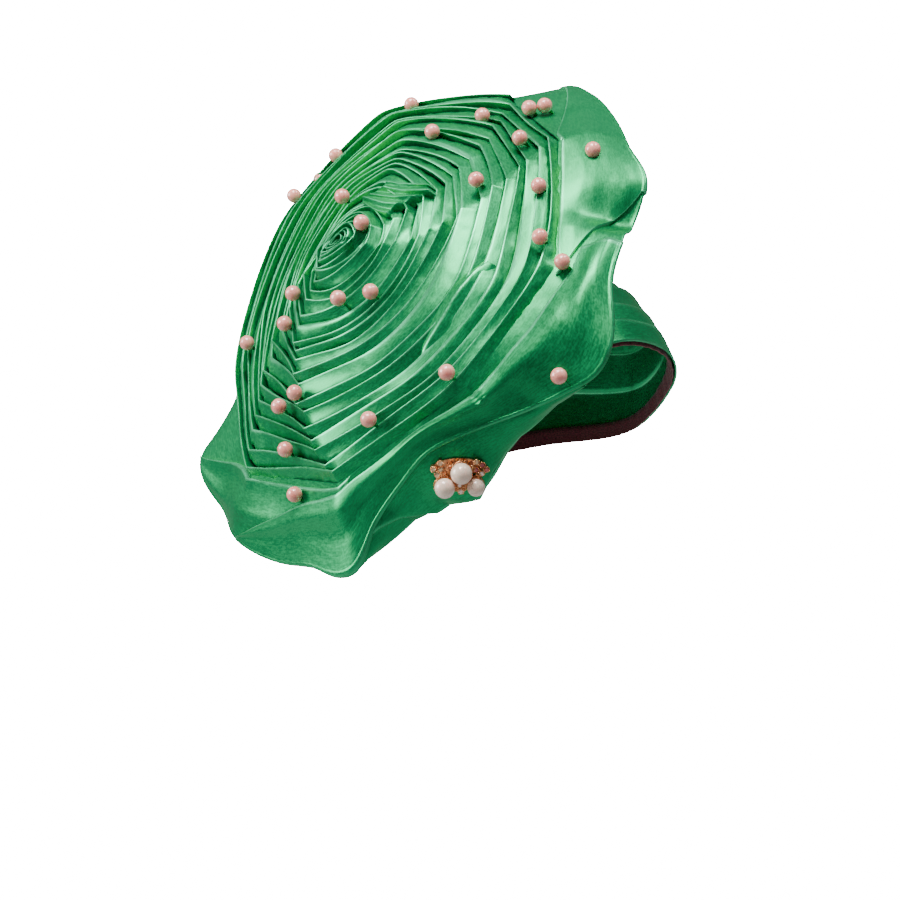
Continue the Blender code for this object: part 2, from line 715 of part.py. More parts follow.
def main():
    """Build the head tie from its parts."""
    for old in list(bpy.data.objects):
        bpy.data.objects.remove(old, do_unlink=True)
    collection = bpy.data.collections.new("Gele head tie")
    cutters = bpy.data.collections.new("Cutters")
    bpy.context.scene.collection.children.link(collection)
    bpy.context.scene.collection.children.link(cutters)

    satin = make_material("Green satin", (0.020, 0.190, 0.070), 0.35)
    satin_light = make_material("Green satin, rosette", (0.030, 0.240, 0.095), 0.32)
    wine = make_material("Wine lining", (0.120, 0.012, 0.022), 0.60)
    pearl = make_material("Pink pearl", (0.860, 0.600, 0.560), 0.20)
    white_pearl = make_material("White pearl", (0.880, 0.840, 0.780), 0.15)
    gold = make_material("Rose gold", (0.800, 0.460, 0.260), 0.22, 1.0)
    crystal = make_material("Crystal", (0.900, 0.860, 0.780), 0.05)

    build_cap(satin, collection)
    build_lining(wine, collection)
    build_brim(satin, collection)
    for name, start_turn, end_turn in ROSETTE_PIECES:
        build_pleats(name, start_turn, end_turn, satin_light, collection)
    build_panel(satin, collection)
    build_pearls(pearl, collection)
    build_brooch(gold, white_pearl, crystal, collection, cutters)


if __name__ == "__main__":
    main()
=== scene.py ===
"""Looks of a tied gele head tie in green satin: cap, fluted brim, pleated rosette, temple panel and brooch.

Lengths are in metres and angles in degrees. +Z is up, the wearer faces -Y and the wearer's right is -X.
"""
import logging
import math
from dataclasses import dataclass
from enum import Enum

import bpy
import numpy as np
from bpy.types import Material, Node, NodeSocket, NodeTree, Object
from mathutils import Matrix, Vector


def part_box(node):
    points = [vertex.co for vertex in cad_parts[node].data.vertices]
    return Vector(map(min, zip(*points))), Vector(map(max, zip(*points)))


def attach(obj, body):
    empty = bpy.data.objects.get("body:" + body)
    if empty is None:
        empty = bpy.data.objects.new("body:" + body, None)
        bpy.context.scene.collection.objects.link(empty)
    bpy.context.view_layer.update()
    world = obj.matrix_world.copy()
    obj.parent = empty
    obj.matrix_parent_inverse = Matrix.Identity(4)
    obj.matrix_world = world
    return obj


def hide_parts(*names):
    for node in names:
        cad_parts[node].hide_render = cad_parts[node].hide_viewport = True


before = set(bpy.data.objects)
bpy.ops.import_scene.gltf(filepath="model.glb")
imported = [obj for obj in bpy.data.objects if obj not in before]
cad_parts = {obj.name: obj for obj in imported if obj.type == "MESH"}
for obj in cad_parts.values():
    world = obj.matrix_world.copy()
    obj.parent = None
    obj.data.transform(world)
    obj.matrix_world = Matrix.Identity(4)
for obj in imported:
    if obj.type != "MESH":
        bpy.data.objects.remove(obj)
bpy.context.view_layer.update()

LOG = logging.getLogger("head_tie")
BODY = "root"
CLEARANCE = 0.0003
MILLIMETRE = 0.001
Array = np.ndarray


class Slot(Enum):
    """Names of the material slots."""

    SATIN = "satin"
    PLEATED_SATIN = "pleated_satin"
    LINING = "lining"
    PINK_PEARL = "pink_pearl"
    WHITE_PEARL = "white_pearl"
    ROSE_GOLD = "rose_gold"


class Hold(Enum):
    """Ways in which a piece of the cloth is held."""

    STRETCHED = "stretched"
    GATHERED = "gathered"
    FOLDED = "folded"
    LAID = "laid"


def unit(vector: Array) -> Array:
    """Return the vectors of the last axis at length one."""
    vector = np.asarray(vector, float)
    return vector / np.maximum(np.linalg.norm(vector, axis=-1, keepdims=True), 1e-12)


def smooth_step(value: Array, start: float, end: float) -> Array:
    """Return a soft ramp from 0 at start to 1 at end."""
    share = np.clip((np.asarray(value, float) - start) / (end - start), 0.0, 1.0)
    return share * share * (3.0 - 2.0 * share)


def hermite(share: Array, first: Array, last: Array, slope_first: Array,
            slope_last: Array) -> Array:
    """Join two values by a curve that keeps their slopes.

    Args:
        share: Place between them, 0 to 1.
        first: Value at 0.
        last: Value at 1.
        slope_first: Slope at 0.
        slope_last: Slope at 1.

    Returns:
        The value at each share.
    """
    s2, s3 = share ** 2, share ** 3
    return ((2 * s3 - 3 * s2 + 1) * first + (s3 - 2 * s2 + share) * slope_first
            + (3 * s2 - 2 * s3) * last + (s3 - s2) * slope_last)


def smooth_read(places: Array, knots: Array, values: Array) -> Array:
    """Read a table at places with a smooth curve through its knots.

    Args:
        places: Where to read, between the first and the last knot.
        knots: Rising places of the rows.
        values: Value of each row.

    Returns:
        One value for each place.
    """
    places, knots, values = (np.asarray(item, float) for item in (places, knots, values))
    after = np.clip(np.searchsorted(knots, places, side="right"), 1, len(knots) - 1)
    slopes = np.gradient(values, knots)
    span = knots[after] - knots[after - 1]
    share = np.clip((places - knots[after - 1]) / span, 0.0, 1.0)
    return hermite(share, values[after - 1], values[after], span * slopes[after - 1], span * slopes[after])


@dataclass(frozen=True)
class RoundTable:
    """Closed table of values by angle, read with a smooth curve through its rows."""

    rows: tuple
    column: int

    def read(self, angle: Array) -> Array:
        """Read the table at angles.

        Args:
            angle: Angles in degrees, of any turn.

        Returns:
            The column's value at each angle.
        """
        places, values = np.array(sorted((row[1] % 360.0, row[self.column]) for row in self.rows)).T
        angle = np.asarray(angle, float) % 360.0
        count = len(places)
        i2 = np.searchsorted(places, angle, side="right") % count
        i0, i1, i3 = (i2 - 2) % count, (i2 - 1) % count, (i2 + 1) % count
        span = (places[i2] - places[i1]) % 360.0
        share = ((angle - places[i1]) % 360.0) / span
        slope1 = (values[i2] - values[i0]) / ((places[i1] - places[i0]) % 360.0 + span) * span
        slope2 = (values[i3] - values[i1]) / (span + (places[i3] - places[i2]) % 360.0) * span
        return hermite(share, values[i1], values[i2], slope1, slope2)


@dataclass(frozen=True)
class Ripples:
    """Seeded field of soft crumples over a cloth, from a sum of slanted waves."""

    seed: int
    longest: float
    shortest: float
    waves: int = 14
    stretch: float = 1.0

    def read(self, along: Array, across: Array) -> Array:
        """Read the crumple height, about -1 to 1.

        Args:
            along: Distance along the cloth.
            across: Distance across the cloth.

        Returns:
            The field at each pair of distances.
        """
        draw = np.random.default_rng(self.seed)
        total = np.zeros(np.broadcast(along, across).shape)
        for _ in range(self.waves):
            length = math.exp(draw.uniform(math.log(self.shortest), math.log(self.longest)))
            turn, phase = draw.uniform(0.0, math.pi), draw.uniform(0.0, 2 * math.pi)
            way = along * math.cos(turn) / self.stretch + across * math.sin(turn)
            total += np.sin(2 * math.pi * way / length + phase)
        return total / math.sqrt(self.waves * 2.0)

    def over(self, lengths: Array) -> Array:
        """Return the field over a cloth, from its pairs of lengths."""
        return self.read(lengths[..., 0], lengths[..., 1])


@dataclass(frozen=True)
class CapForm:
    """The rounded form of the cap's cloth and the line of its edge round the head."""

    half_width: float = 0.078
    half_length: float = 0.097
    half_height: float = 0.087
    wall: float = 0.0024
    roundness: float = 1.95
    edge_rows: tuple = (
        ("left ear", 0.0, -15.0),
        ("left temple", -31.0, 8.0),
        ("left brow", -62.0, 26.0),
        ("mid brow", -97.0, 32.0),
        ("right brow", -116.0, 19.0),
        ("right temple top", -132.0, 4.0),
        ("right temple", -147.0, -19.0),
        ("right ear", -180.0, -32.0),
        ("right nape", -225.0, -31.0),
        ("nape", -270.0, -29.0),
        ("left nape", -315.0, -24.0),
    )

    def halves(self, inset: Array) -> Array:
        """Return the three half sizes, made smaller by inset."""
        sizes = np.array([self.half_width, self.half_length, self.half_height])
        return sizes - np.asarray(inset, float)[..., None]

    def way(self, azimuth: Array, latitude: Array) -> Array:
        """Return unit vectors at azimuths from +X and latitudes."""
        turn, lift = np.radians(azimuth), np.radians(latitude)
        level = np.cos(lift)
        return np.stack(np.broadcast_arrays(level * np.cos(turn), level * np.sin(turn), np.sin(lift)), -1)

    def points(self, azimuth: Array, latitude: Array, inset: Array = 0.0) -> Array:
        """Return points on the cap's outer cloth, moved inward by inset."""
        way = self.way(azimuth, latitude)
        power = (np.abs(way / self.halves(inset)) ** self.roundness).sum(-1)
        return way / power[..., None] ** (1.0 / self.roundness)

    def edge(self, azimuth: Array) -> Array:
        """Return the latitude of the cap's edge at azimuths."""
        return RoundTable(self.edge_rows, 2).read(azimuth)

    def reach(self, facing: Array) -> float:
        """Return the distance from the origin to the cap's far side along a direction."""
        dual = self.roundness / (self.roundness - 1.0)
        return float((np.abs(self.halves(0.0) * facing) ** dual).sum() ** (1.0 / dual))


@dataclass(frozen=True)
class Disc:
    """Frame of the rosette and the brim: a plane that leans against the cap."""

    cap: CapForm
    azimuth: float = 175.3
    elevation: float = 39.8
    shift_up: float = 0.0015
    brim_drop: float = 0.004

    @property
    def facing(self) -> Array:
        """Direction that the rosette faces."""
        return self.cap.way(self.azimuth, self.elevation)

    @property
    def up(self) -> Array:
        """Direction up in the disc's plane, where angles start."""
        return unit(np.array([0.0, 0.0, 1.0]) - self.facing * self.facing[2])

    @property
    def side(self) -> Array:
        """Direction of an angle of 90 degrees."""
        return np.cross(self.facing, self.up)

    @property
    def middle(self) -> Array:
        """Middle of the disc."""
        rise = self.cap.reach(self.facing) + CLEARANCE + self.brim_drop
        return self.facing * rise + self.up * self.shift_up

    def flat(self, x: Array, y: Array, height: Array) -> Array:
        """Return points at x (up) and y (side) in the plane, raised by height."""
        x, y, height = (part[..., None] for part in np.broadcast_arrays(x, y, height))
        return self.middle + x * self.up + y * self.side + height * self.facing

    def polar(self, radius: Array, angle: Array, height: Array) -> Array:
        """Return points at a radius and an angle in the plane, raised by height."""
        turn = np.radians(angle)
        return self.flat(radius * np.cos(turn), radius * np.sin(turn), height)


def grid_faces(rows: int, columns: int, closed: bool) -> Array:
    """Number the quads of a grid that is stored row by row.

    Args:
        rows: Rows of the grid.
        columns: Points in a row.
        closed: Whether each row joins its own start.

    Returns:
        Four point numbers for each quad.
    """
    around = columns if closed else columns - 1
    row, column = np.meshgrid(np.arange(rows - 1), np.arange(around), indexing="ij")
    after = (column + 1) % columns
    quads = np.stack([row * columns + column, row * columns + after,
                      (row + 1) * columns + after, (row + 1) * columns + column], -1)
    return quads.reshape(-1, 4)


def grid_normals(points: Array, closed: bool) -> Array:
    """Find the unit normals of a grid of points.

    Args:
        points: Rows by columns of points.
        closed: Whether each row joins its own start.

    Returns:
        One normal for each point.
    """
    down = np.gradient(points, axis=0)
    if closed:
        along = np.roll(points, -1, axis=1) - np.roll(points, 1, axis=1)
    else:
        along = np.gradient(points, axis=1)
    return unit(np.cross(along, down))


@dataclass
class ClothGrid:
    """A sheet of cloth as a grid of points, with its own lengths and its folded edges marked for a painted
    highlight.
    """

    name: str
    points: Array
    cloth: Array
    fold: Array
    closed: bool = False

    def corner_places(self, quads: Array) -> Array:
        """Find the cloth lengths at each corner of each quad, carried on where a closed row joins.

        Args:
            quads: The grid's quads.

        Returns:
            One pair of lengths for each corner.
        """
        corners = quads.reshape(-1)
        places = self.cloth.reshape(-1, 2)[corners]
        if not self.closed:
            return places
        columns = self.points.shape[1]
        last = np.repeat((quads % columns).max(1) == columns - 1, 4) & (corners % columns == 0)
        wrap = np.repeat((quads % columns).min(1) == 0, 4)
        turn = self.cloth[0, -1, 0] + (self.cloth[0, -1, 0] - self.cloth[0, -2, 0])
        return places + np.stack([np.where(last & wrap, turn, 0.0), np.zeros(len(corners))], 1)

    def build(self, material: Material) -> Object:
        """Build the sheet as a smooth shaded mesh object.

        Args:
            material: Finish of the sheet.

        Returns:
            The mesh object, linked to the scene.
        """
        quads = grid_faces(*self.points.shape[:2], self.closed)
        mesh = bpy.data.meshes.new(self.name)
        mesh.from_pydata(self.points.reshape(-1, 3).tolist(), [], quads.tolist())
        mesh.materials.append(material)
        layer = mesh.uv_layers.new(name="cloth")
        layer.data.foreach_set("uv", self.corner_places(quads).reshape(-1))
        # The fold mark feeds the satin's painted highlight.
        mark = mesh.attributes.new("fold", "FLOAT", "POINT")
        mark.data.foreach_set("value", self.fold.reshape(-1).astype(np.float32))
        mesh.shade_smooth()
        mesh.validate()
        thing = bpy.data.objects.new(self.name, mesh)
        bpy.context.scene.collection.objects.link(thing)
        return thing


def cloth_lengths(points: Array) -> Array:
    """Measure a cloth along its rows and down its columns.

    Args:
        points: Rows by columns of points.

    Returns:
        Each point's distance along its row and down its column.
    """
    along = np.linalg.norm(np.diff(points, axis=1, prepend=points[:, :1]), axis=-1).mean(0).cumsum()
    down = np.linalg.norm(np.diff(points, axis=0, prepend=points[:1]), axis=-1).mean(1).cumsum()
    return np.stack(np.broadcast_arrays(along[None, :], down[:, None]), -1)


def register(thing: Object, slot: Slot, *nodes: str) -> Object:
    """Let a piece ride on the head tie's body, and hide the nodes that it stands for.

    Args:
        thing: The piece.
        slot: Its material slot; not used.
        *nodes: The nodes that it stands for, or none.

    Returns:
        The same piece.
    """
    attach(thing, BODY)
    if nodes:
        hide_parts(*nodes)
    return thing


def thicken(thing: Object, thickness: float, offset: float) -> None:
    """Give a cloth its thickness.

    Args:
        thing: The cloth.
        thickness: Its thickness.
        offset: -1 to grow it inward, or 0 to grow it to both sides.
    """
    wall = thing.modifiers.new("Wall", "SOLIDIFY")
    wall.thickness = thickness
    wall.offset = offset


def report(thing: Object) -> None:
    """Report a finished piece."""
    LOG.info("%s: %d faces", thing.name, len(thing.data.polygons))


class NodeBench:
    """Short ways to add and join shader nodes in one node tree."""

    def __init__(self, tree: NodeTree) -> None:
        """Keep the tree that the nodes go in."""
        self.tree = tree

    def fill(self, node: Node, values: dict) -> None:
        """Set or join a node's inputs.

        Args:
            node: The node.
            values: Input sockets by name or number, each a value or an output socket to join.
        """
        for key, value in values.items():
            if isinstance(value, NodeSocket):
                self.tree.links.new(value, node.inputs[key])
            else:
                node.inputs[key].default_value = value

    def add(self, kind: str, values: dict | None = None, **settings: object) -> Node:
        """Add a node.

        Args:
            kind: Blender's name of the node type.
            values: Input sockets by name or number, each a value or an output socket to join.
            **settings: Properties of the node.

        Returns:
            The new node.
        """
        node = self.tree.nodes.new(kind)
        for key, value in settings.items():
            setattr(node, key, value)
        self.fill(node, values or {})
        return node

    def effect(self, tree: NodeTree, **values: object) -> Node:
        """Place a shared effect with its own values."""
        return self.add("ShaderNodeGroup", values, node_tree=tree)

    def math(self, operation: str, first: object, second: object = 0.0,
             clamp: bool = False) -> NodeSocket:
        """Return the result of a sum on two values."""
        node = self.add("ShaderNodeMath", {0: first, 1: second}, operation=operation, use_clamp=clamp)
        return node.outputs[0]

    def scaled(self, value: object, share: float, base: object) -> NodeSocket:
        """Return a share of a value on top of a base."""
        return self.math("ADD", self.math("MULTIPLY", value, share), base)

    def mix(self, share: object, first: object, second: object) -> NodeSocket:
        """Return a colour between two colours."""
        return self.add("ShaderNodeMix", {0: share, 6: first, 7: second}, data_type="RGBA").outputs[2]

    def noise(self, vector: object, scale: object, detail: float = 2.0,
              distortion: float = 0.0) -> NodeSocket:
        """Return a noise value over the given coordinates."""
        return self.add("ShaderNodeTexNoise", {"Vector": vector, "Scale": scale, "Detail": detail,
                                               "Distortion": distortion}).outputs["Fac"]

    def ramp(self, value: object, low: float, high: float) -> NodeSocket:
        """Return a clamped value that runs from 0 at low to 1 at high."""
        node = self.add("ShaderNodeMapRange", {"Value": value, "From Min": low, "From Max": high})
        return node.outputs["Result"]

    def room(self) -> NodeSocket:
        """Return the coordinates over the object."""
        return self.add("ShaderNodeTexCoord").outputs["Object"]

    def bump(self, height: object, strength: float, distance: float, **under: object) -> NodeSocket:
        """Return a normal from a height, over another normal where Normal is given."""
        values = {"Height": height, "Strength": strength, "Distance": distance, **under}
        return self.add("ShaderNodeBump", values).outputs[0]


def colour(red: float, green: float, blue: float) -> tuple[float, float, float, float]:
    """Return an opaque colour for a node socket."""
    return (red, green, blue, 1.0)


def grey(tone: float) -> tuple[float, float, float, float]:
    """Return an opaque grey for a node socket."""
    return colour(tone, tone, tone)


class SharedEffects:
    """Node groups that more than one finish uses."""

    def __init__(self) -> None:
        """Build each group once."""
        self.grain = self.build_grain()
        self.fold_highlight = self.build_fold_highlight()
        self.mottle = self.build_mottle()

    @staticmethod
    def new_group(name: str, inputs: tuple, outputs: tuple) -> tuple[NodeBench, object, Node]:
        """Start a node group.

        Args:
            name: Name of the group.
            inputs: Rows of socket name, socket kind and value, or None to keep the value.
            outputs: Names of the value sockets.

        Returns:
            The group's bench, its inputs and its output node.
        """
        tree = bpy.data.node_groups.new(name, "ShaderNodeTree")
        for label, kind, value in inputs:
            socket = tree.interface.new_socket(name=label, in_out="INPUT", socket_type=kind)
            if value is not None:
                socket.default_value = value
        for label in outputs:
            tree.interface.new_socket(name=label, in_out="OUTPUT", socket_type="NodeSocketFloat")
        bench = NodeBench(tree)
        return bench, bench.add("NodeGroupInput").outputs, bench.add("NodeGroupOutput")

    def build_grain(self) -> NodeTree:
        """Satin's thread grain: fine streaks along the warp and a speckle where floats catch light.

        Returns:
            The group, with a height for the bump and a tone mask.
        """
        bench, given, result = self.new_group(
            "Satin grain",
            (("Place", "NodeSocketVector", None), ("Threads", "NodeSocketFloat", 1500.0),
             ("Streak", "NodeSocketFloat", 7.0), ("Speckle", "NodeSocketFloat", 900.0)),
            ("Height", "Tone"))
        parts = bench.add("ShaderNodeSeparateXYZ", {0: given["Place"]})
        slow = bench.math("DIVIDE", parts.outputs["X"], given["Streak"])
        drawn = bench.add("ShaderNodeCombineXYZ", {"X": slow, "Y": parts.outputs["Y"]})
        streak = bench.noise(drawn.outputs[0], given["Threads"])
        speckle = bench.noise(given["Place"], given["Speckle"], 1.0)
        height = bench.scaled(streak, 0.6, bench.math("MULTIPLY", speckle, 0.4))
        bench.fill(result, {"Height": height, "Tone": bench.ramp(height, 0.41, 0.59)})
        return bench.tree

    def build_fold_highlight(self) -> NodeTree:
        """Painted highlight along folded edges: the fold mark made bright, broken up along its length.

        Returns:
            The group, with a mask.
        """
        bench, given, result = self.new_group(
            "Painted fold highlight",
            (("Fold", "NodeSocketFloat", 0.0), ("Place", "NodeSocketVector", None),
             ("Amount", "NodeSocketFloat", 0.6)),
            ("Mask",))
        # Painted highlight: the fold mark, broken up by noise, lightens the colour along folded edges.
        patch = bench.ramp(bench.noise(given["Place"], 34.0, 3.0), 0.36, 0.62)
        highlight_mask = bench.math("MULTIPLY", given["Fold"], bench.scaled(patch, 0.75, 0.25))
        bench.fill(result, {"Mask": bench.math("MULTIPLY", highlight_mask, given["Amount"], clamp=True)})
        return bench.tree

    def build_mottle(self) -> NodeTree:
        """Slow and quick changes of tone and crumple over a surface.

        Returns:
            The group, with a broad mask, a fine mask and a crumple height.
        """
        bench, given, result = self.new_group(
            "Mottle",
            (("Place", "NodeSocketVector", None), ("Broad", "NodeSocketFloat", 22.0),
             ("Fine", "NodeSocketFloat", 260.0)),
            ("Broad", "Fine", "Crumple"))
        place = given["Place"]
        bench.fill(result, {"Broad": bench.ramp(bench.noise(place, given["Broad"], 3.0), 0.32, 0.68),
                            "Fine": bench.ramp(bench.noise(place, given["Fine"]), 0.35, 0.65),
                            "Crumple": bench.noise(place, 95.0, distortion=0.6)})
        return bench.tree


def new_material(name: str) -> tuple[Material, NodeBench, Node]:
    """Start a material.

    Args:
        name: Name of the finish.

    Returns:
        The material, its bench and its Principled shader.
    """
    material = bpy.data.materials.new(name)
    material.use_nodes = True
    return material, NodeBench(material.node_tree), material.node_tree.nodes["Principled BSDF"]


@dataclass(frozen=True)
class SatinFinish:
    """Woven satin: a deep tone and a lighter thread tone mixed at random, and a painted mint highlight
    along folded edges, under a soft metal sheen.
    """

    name: str
    deep: tuple = colour(0.007, 0.200, 0.058)
    thread: tuple = colour(0.015, 0.410, 0.140)
    # Mint of the painted highlight along folded edges, also the sheen's tint.
    folded: tuple = colour(0.200, 0.950, 0.500)
    edge_tint: tuple = colour(0.55, 1.0, 0.72)
    metallic: float = 0.72
    roughness: float = 0.38
    specular: float = 0.45
    sheen: float = 0.06
    sheen_roughness: float = 0.35
    tone_share: float = 0.45
    grain_roughness: float = 0.10
    fold_polish: float = 0.06
    grain_depth: float = 0.00009
    grain_strength: float = 0.6
    crumple_depth: float = 0.0004
    crumple_strength: float = 0.5
    fold_highlight_share: float = 0.55

    def build(self, effects: SharedEffects) -> Material:
        """Build the material.

        Args:
            effects: The shared node groups.

        Returns:
            The satin's material.
        """
        material, bench, shader = new_material(self.name)
        room = bench.room()
        place = bench.add("ShaderNodeUVMap", uv_map="cloth").outputs["UV"]
        fold = bench.add("ShaderNodeAttribute", attribute_name="fold").outputs["Fac"]
        grain = bench.effect(effects.grain, Place=place).outputs
        highlight_mask = bench.effect(effects.fold_highlight, Place=room, Fold=fold, Amount=self.fold_highlight_share).outputs["Mask"]
        mottle = bench.effect(effects.mottle, Place=room).outputs
        tone = bench.math("ADD", bench.math("MULTIPLY", grain["Tone"], self.tone_share),
                          bench.math("MULTIPLY", mottle["Broad"], self.tone_share), clamp=True)
        rough = bench.scaled(grain["Tone"], self.grain_roughness, self.roughness - self.grain_roughness / 2)
        crumple = bench.bump(mottle["Crumple"], self.crumple_strength, self.crumple_depth)
        bench.fill(shader, {
            # Base colour: deep and thread tones mixed at random, under a painted mint highlight along the
            # folded edges.
            "Base Color": bench.mix(highlight_mask, bench.mix(tone, self.deep, self.thread), self.folded),
            "Roughness": bench.math("SUBTRACT", rough, bench.math("MULTIPLY", highlight_mask, self.fold_polish)),
            "Normal": bench.bump(grain["Height"], self.grain_strength, self.grain_depth, Normal=crumple),
            "Metallic": self.metallic, "Sheen Weight": self.sheen,
            "Sheen Roughness": self.sheen_roughness, "Sheen Tint": self.folded,
            "Specular IOR Level": self.specular, "Specular Tint": self.edge_tint})
        return material


@dataclass(frozen=True)
class LiningFinish:
    """Matt dark wine lining cloth with a fine plain weave; its dark tone also stands in for painted shade
    under the cap's edge.
    """

    name: str = "Wine lining"
    base: tuple = colour(0.085, 0.008, 0.016)
    light: tuple = colour(0.190, 0.022, 0.036)
    roughness: float = 0.72
    sheen: float = 0.2
    streak: float = 2.0
    weave_depth: float = 0.0001
    weave_strength: float = 0.7

    def build(self, effects: SharedEffects) -> Material:
        """Build the material.

        Args:
            effects: The shared node groups.

        Returns:
            The lining's material.
        """
        material, bench, shader = new_material(self.name)
        place = bench.add("ShaderNodeUVMap", uv_map="cloth").outputs["UV"]
        grain = bench.effect(effects.grain, Place=place, Streak=self.streak).outputs
        bench.fill(shader, {
            "Base Color": bench.mix(grain["Tone"], self.base, self.light),
            "Normal": bench.bump(grain["Height"], self.weave_strength, self.weave_depth),
            "Roughness": self.roughness, "Sheen Weight": self.sheen})
        return material


@dataclass(frozen=True)
class PearlFinish:
    """Coated pearl: a milky body under a clear coat, with a faint change of tone round the ball."""

    name: str
    body: tuple
    shade: tuple
    shade_share: float = 0.5
    broad: float = 170.0
    fine: float = 1400.0
    roughness: float = 0.24
    fine_roughness: float = 0.06
    pit_depth: float = 0.00005
    pit_strength: float = 0.15
    coat: float = 1.0
    coat_roughness: float = 0.04
    glow: float = 0.15
    glow_radius: tuple = (0.002, 0.0012, 0.001)
    glow_scale: float = 0.5
    sheen: float = 0.05

    def build(self, effects: SharedEffects) -> Material:
        """Build the material.

        Args:
            effects: The shared node groups.

        Returns:
            The pearl's material.
        """
        material, bench, shader = new_material(self.name)
        room = bench.room()
        mottle = bench.effect(effects.mottle, Place=room, Broad=self.broad, Fine=self.fine).outputs
        tone = bench.math("MULTIPLY", mottle["Broad"], self.shade_share)
        bench.fill(shader, {
            "Base Color": bench.mix(tone, self.body, self.shade),
            "Roughness": bench.scaled(mottle["Fine"], self.fine_roughness, self.roughness),
            "Normal": bench.bump(mottle["Fine"], self.pit_strength, self.pit_depth),
            "Coat Weight": self.coat, "Coat Roughness": self.coat_roughness,
            "Subsurface Weight": self.glow, "Subsurface Radius": self.glow_radius,
            "Subsurface Scale": self.glow_scale, "Sheen Weight": self.sheen})
        return material


@dataclass(frozen=True)
class MetalFinish:
    """Polished rose gold with a little tarnish in its hollows."""

    name: str = "Rose gold"
    bright: tuple = colour(0.960, 0.520, 0.240)
    dull: tuple = colour(0.360, 0.070, 0.040)
    dull_share: float = 0.75
    broad: float = 500.0
    fine: float = 2400.0
    roughness: float = 0.20
    fine_roughness: float = 0.14
    pit_depth: float = 0.00006
    pit_strength: float = 0.25

    def build(self, effects: SharedEffects) -> Material:
        """Build the material.

        Args:
            effects: The shared node groups.

        Returns:
            The metal's material.
        """
        material, bench, shader = new_material(self.name)
        room = bench.room()
        mottle = bench.effect(effects.mottle, Place=room, Broad=self.broad, Fine=self.fine).outputs
        share = bench.math("MULTIPLY", mottle["Broad"], self.dull_share)
        bench.fill(shader, {
            "Base Color": bench.mix(share, self.bright, self.dull),
            "Roughness": bench.scaled(mottle["Fine"], self.fine_roughness, self.roughness),
            "Normal": bench.bump(mottle["Fine"], self.pit_strength, self.pit_depth),
            "Metallic": 1.0})
        return material


@dataclass(frozen=True)
class CrystalFinish:
    """Foil backed cut stone, warm and clear."""

    name: str = "Foil backed crystal"
    clear: tuple = colour(0.960, 0.900, 0.820)
    warm: tuple = colour(0.860, 0.560, 0.420)
    broad: float = 620.0
    foil: float = 0.65
    roughness: float = 0.05
    coat_roughness: float = 0.02

    def build(self, effects: SharedEffects) -> Material:
        """Build the material.

        Args:
            effects: The shared node groups.

        Returns:
            The stone's material.
        """
        material, bench, shader = new_material(self.name)
        room = bench.room()
        mottle = bench.effect(effects.mottle, Place=room, Broad=self.broad).outputs
        bench.fill(shader, {
            "Base Color": bench.mix(mottle["Broad"], self.clear, self.warm), "Metallic": self.foil,
            "Roughness": self.roughness, "Coat Weight": 1.0, "Coat Roughness": self.coat_roughness})
        return material


